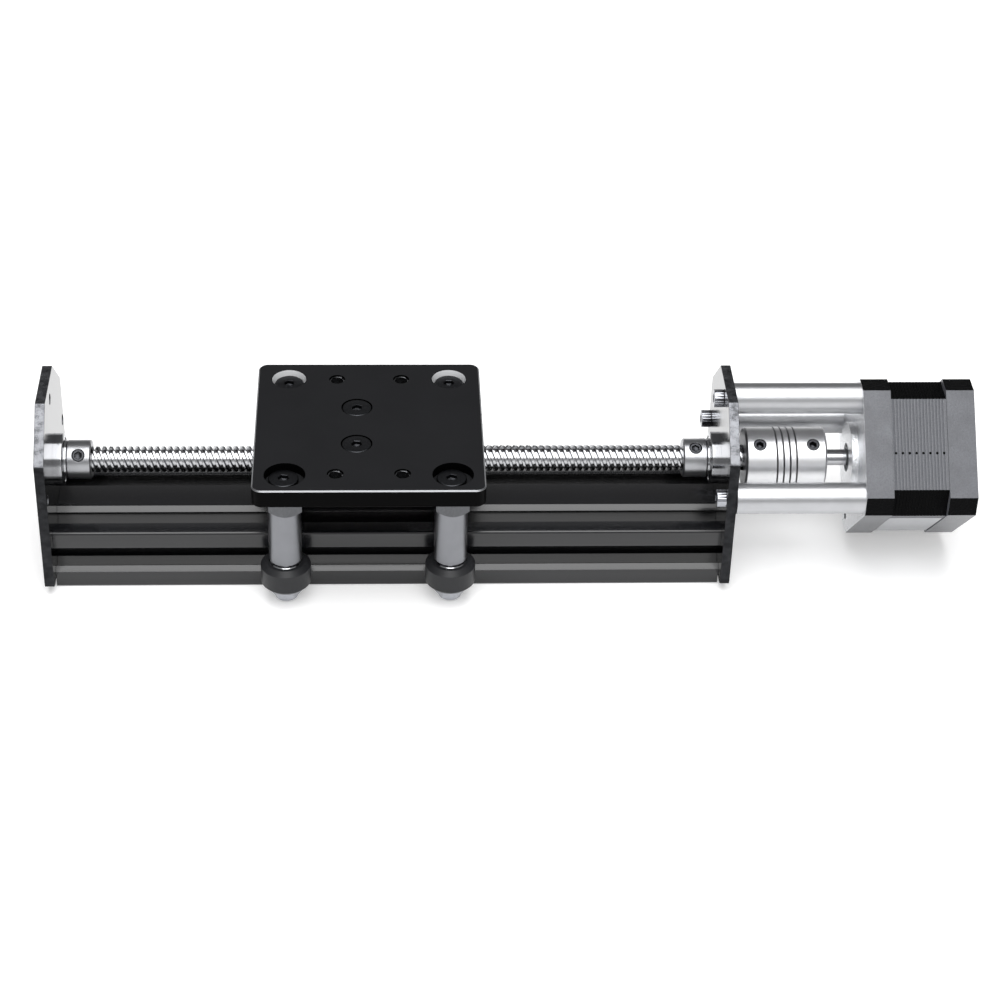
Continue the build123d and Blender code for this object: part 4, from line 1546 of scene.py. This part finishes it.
@dataclass
class MotorUnit:
    """Stepper motor on its three standoffs.

    Attributes:
        side: Width of the square body.
        front_bell: Length of the front bell.
        stack: Length of the lamination stack.
        corner: Size of the stack's cut corners.
        inset: How far the stack lies inside the bells' outline.
        clearance: How far the modelled stack stays inside the solid one.
        bore: Inner diameter of the modelled stack.
        sheets: Number of ridges that show.
        groove: Depth of the grooves between them.
        waver: How much the ridges differ in height.
        side_points: Points on each side of the stack's outline.
        label: Length of the label along X and width across the face.
        label_shift: Place of the label's middle across the face, from the axis toward the front.
        label_thickness: Thickness of the label.
        label_sink: How far the label is sunk into the stack.
        mount_length: Length of the mounting screws.
        case_length: Length of the case screws.
        case_sink: Depth of the case screws' seats under the rear face.
    """

    side: float = 42.3
    front_bell: float = 8.4
    stack: float = 17.0
    corner: float = 6.8
    inset: float = 0.25
    clearance: float = 0.03
    bore: float = 35.4
    sheets: int = 17
    groove: float = 0.06
    waver: float = 0.012
    side_points: int = 8
    label: tuple[float, float] = (16.2, 24.2)
    label_shift: float = -1.4
    label_thickness: float = 0.1
    label_sink: float = 0.02
    mount_length: float = 45.0
    case_length: float = 25.2
    case_sink: float = 3.4

    def stack_ring(self, inset: float, z: float) -> Ring:
        """Outline of the stack with points spread along its sides.

        Args:
            inset: Distance inside the bells' outline.
            z: Height along the motor's axis.

        Returns:
            The ring, counter-clockwise.
        """
        half = self.side / 2 - inset
        flat = half - self.corner
        corners = [(half, -flat), (half, flat), (flat, half), (-flat, half)]
        corners = [Vector((u, v, z)) for u, v in corners + [(-u, -v) for u, v in corners]]
        ring = []
        for first, last in zip(corners, corners[1:] + corners[:1]):
            ring += [first.lerp(last, k / self.side_points) for k in range(self.side_points)]
        return ring

    def stator(self) -> None:
        """Lamination stack with a groove between its sheets."""
        pitch = self.stack / self.sheets
        end = self.front_bell + self.stack
        outer = self.inset + self.clearance
        rings = []
        for i in range(self.sheets):
            low = self.front_bell + pitch * i
            proud = outer + self.waver * (math.sin(i * 2.7) + math.sin(i * 1.3)) / 2
            sunk = outer + self.groove
            for share, inset in ((0.12, sunk), (0.24, proud), (0.76, proud), (0.88, sunk)):
                rings.append(self.stack_ring(inset, low + pitch * share))
        rings[0] = self.stack_ring(outer, self.front_bell)
        rings[-1] = self.stack_ring(outer, end)
        for z in (end, self.front_bell):
            inner = self.stack_ring(self.inset, z)
            rings.append([Vector((*(point.xy.normalized() * self.bore / 2), z)) for point in inner])
        face = Matrix.Translation(SIZES.on_axis(SIZES.motor_face))
        place = face @ Matrix.Rotation(math.radians(45), 4, "X") @ cross_section()
        solid = Solid().loft(rings, wrap=True).copies([place])
        add(solid, "motor_stator_sheets", STACK_PAINT, Body.FRAME, "motor_black", "motor_stator")

    def label_sheet(self) -> None:
        """Blank foil label on the stack's lower front face."""
        u, v = (size / 2 for size in self.label)
        outline = rounded([(u, -v), (u, v), (-u, v), (-u, -v)], 0.8)
        half = math.sqrt(0.5)
        out = Vector((0, -half, -half))
        across = Vector((0, -half, half))
        reach = self.side / 2 - self.inset + self.label_thickness / 2 - self.label_sink
        x = SIZES.motor_face + self.front_bell + self.stack / 2
        place = Matrix((Vector((1, 0, 0)), across, out)).transposed().to_4x4()
        place.translation = SIZES.on_axis(x) + out * reach + across * self.label_shift
        solid = slab([outline], self.label_thickness, 0.03, place)
        add(solid, "motor_label_blank", LABEL_FOIL, Body.FRAME, "motor_black")

    def cap_screws(self, name: str, length: float, x: float, head: int, count: int) -> None:
        """Knurled cap screws on the motor's hole circle, from the front round to the lowest.

        Args:
            name: Name of their CAD node.
            length: Length under the head.
            x: Place along X that the heads are seated on.
            head: Direction along X that the heads face.
            count: How many of the four holes hold one.
        """
        screw = SocketScrew(M3, length, 4.0, 5.5, 3.0, 2.5, 1.95, edge=0.3, flutes=36)
        spots = circle(SIZES.motor_hole_radius, 4)[:count]
        places = [turned(Vector((head, 0, 0)), SIZES.on_axis(x) + Vector((0, *spot.xy))) for spot in spots]
        add(screw.solid().copies(places), f"{name}_knurled", ZINC, Body.FRAME, "zinc_steel", name)

    def build(self) -> None:
        """Build and dress the unit."""
        self.stator()
        self.label_sheet()
        self.cap_screws("motor_mount_screws", self.mount_length, SIZES.rail_end, -1, 3)
        rear = SIZES.motor_face + SIZES.motor_length - self.case_sink
        self.cap_screws("motor_case_screws", self.case_length, rear, 1, 4)
        face_x = SIZES.motor_face * MM
        dress(CastPaint("front_bell_paint", BELL_PAINT, 0.34, face_x=face_x), "motor_front_bell")
        dress(CastPaint("rear_bell_paint", BELL_PAINT, 0.36), "motor_rear_bell")
        dress(ALUMINIUM_POST, "motor_standoffs")
        dress(COPPER, "motor_coils")
        dress(GROUND_STEEL, "motor_bearing_outer_rings", "motor_wave_washer")
        dress(CREAM_PLASTIC, "connector_socket")
        dress(ZINC, "connector_pins")


@dataclass
class Studio:
    """Camera, light, floor and surroundings, in metres.

    Attributes:
        eye: Camera place.
        right: Camera's right-hand direction.
        up: Camera's upward direction.
        forward: Direction that it looks in.
        lens: Focal length in millimetres.
        sensor: Width of the sensor in millimetres.
        box_size: Sides of the soft light along X and Y.
        box_centre: Its middle.
        box_light: Its radiance in watts per square metre.
        floor_size: Side of the table.
        floor_colour: The table's colour.
        floor_lift: Light added to the table where a camera or a mirror sees it.
        floor_drop: How far the table lies under the rail.
        back: Colour of the surroundings behind and above.
        front: Their colour in front.
        haze: Height of the direction at which the pale horizon has faded.
    """

    eye: Triple = (-0.003206, -0.644006, 0.474583)
    right: Triple = (0.99884, -0.04107, 0.02504)
    up: Triple = (0.00333, 0.57837, 0.81577)
    forward: Triple = (0.04799, 0.81474, -0.57784)
    lens: float = 91.0645
    sensor: float = 36.0
    box_size: tuple[float, float] = (1.0, 2.1)
    box_centre: Triple = (0.03, -0.7, 1.25)
    box_light: float = 4.2
    floor_size: float = 4.0
    floor_colour: float = 0.86
    floor_lift: float = 0.32
    floor_drop: float = 0.02 * MM
    back: Triple = (0.2, 0.2, 0.203)
    front: Triple = (0.5, 0.5, 0.505)
    haze: float = 0.2

    def camera(self) -> None:
        """Camera at the photograph's viewing angle."""
        data = bpy.data.cameras.new("camera")
        data.lens = self.lens
        data.sensor_width = self.sensor
        data.clip_start = 0.01
        data.clip_end = 50.0
        camera = bpy.data.objects.new("camera", data)
        turn = Matrix((self.right, self.up, -Vector(self.forward))).transposed().to_4x4()
        camera.matrix_world = Matrix.Translation(self.eye) @ turn
        bpy.context.scene.collection.objects.link(camera)
        bpy.context.scene.camera = camera

    def softbox(self) -> None:
        """One large soft light above the object."""
        data = bpy.data.lights.new("softbox", "AREA")
        data.shape = "RECTANGLE"
        data.size, data.size_y = self.box_size
        data.energy = self.box_light * math.pi * self.box_size[0] * self.box_size[1]
        light = bpy.data.objects.new("softbox", data)
        light.location = self.box_centre
        bpy.context.scene.collection.objects.link(light)

    def surroundings(self) -> None:
        """World that is pale at the horizon, dim behind and above, and a little lighter in front."""
        world = bpy.data.worlds.new("studio")
        world.use_nodes = True
        graph = Graph(world.node_tree)
        _, y, z = graph.axes(graph.node("ShaderNodeTexCoord", output="Generated"))
        low = graph.span(z, self.haze, 0.0)
        dim = graph.blend(graph.span(y, 0.3, -0.5), self.back, self.front)
        colour = graph.blend(low, dim, (1.0, 1.0, 1.0))
        light = graph.node("ShaderNodeBackground", inputs={"Color": colour})
        graph.node("ShaderNodeOutputWorld", inputs={"Surface": light})
        bpy.context.scene.world = world

    def floor(self) -> None:
        """Plain pale table, lifted to white where a camera or a mirror sees it."""
        half = self.floor_size / 2
        data = bpy.data.meshes.new("table")
        corners = [(-half, -half, 0), (half, -half, 0), (half, half, 0), (-half, half, 0)]
        data.from_pydata(corners, [], [(0, 1, 2, 3)])
        floor = bpy.data.objects.new("table", data)
        floor.location.z = -self.floor_drop
        material = bpy.data.materials.new("pale_table")
        material.use_nodes = True
        graph = Graph(material.node_tree)
        camera = graph.node("ShaderNodeLightPath")
        seen = camera.larger(camera.sibling("Is Glossy Ray")).larger(camera.sibling("Is Transmission Ray"))
        colour = (self.floor_colour, self.floor_colour, self.floor_colour, 1.0)
        diffuse = graph.node("ShaderNodeBsdfDiffuse", inputs={"Color": colour})
        lift = {"Color": (1.0, 1.0, 1.0, 1.0), "Strength": seen * self.floor_lift}
        glow = graph.node("ShaderNodeEmission", inputs=lift)
        both = graph.node("ShaderNodeAddShader", inputs={0: diffuse, 1: glow})
        graph.node("ShaderNodeOutputMaterial", inputs={"Surface": both})
        data.materials.append(material)
        bpy.context.scene.collection.objects.link(floor)
        floor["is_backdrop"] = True

    def build(self) -> None:
        """Set up the studio."""
        self.camera()
        self.softbox()
        self.surroundings()
        self.floor()
        bpy.context.scene.view_settings.view_transform = "Standard"


def corners_of(box: Sequence[Vector]) -> list[list[float]]:
    """A box's corners as plain lists."""
    return [[float(number) for number in corner] for corner in box]


def main(cad_box: list[list[float]]) -> None:
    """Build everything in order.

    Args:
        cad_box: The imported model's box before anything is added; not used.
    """
    logging.basicConfig(level=logging.INFO, format="%(name)s: %(message)s")
    for unit in (RailUnit(), DriveScrew(), Carriage(), MotorUnit(), Studio()):
        unit.build()
        LOG.info("%s is built", type(unit).__name__)


if __name__ == "__main__":
    main(corners_of(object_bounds()))
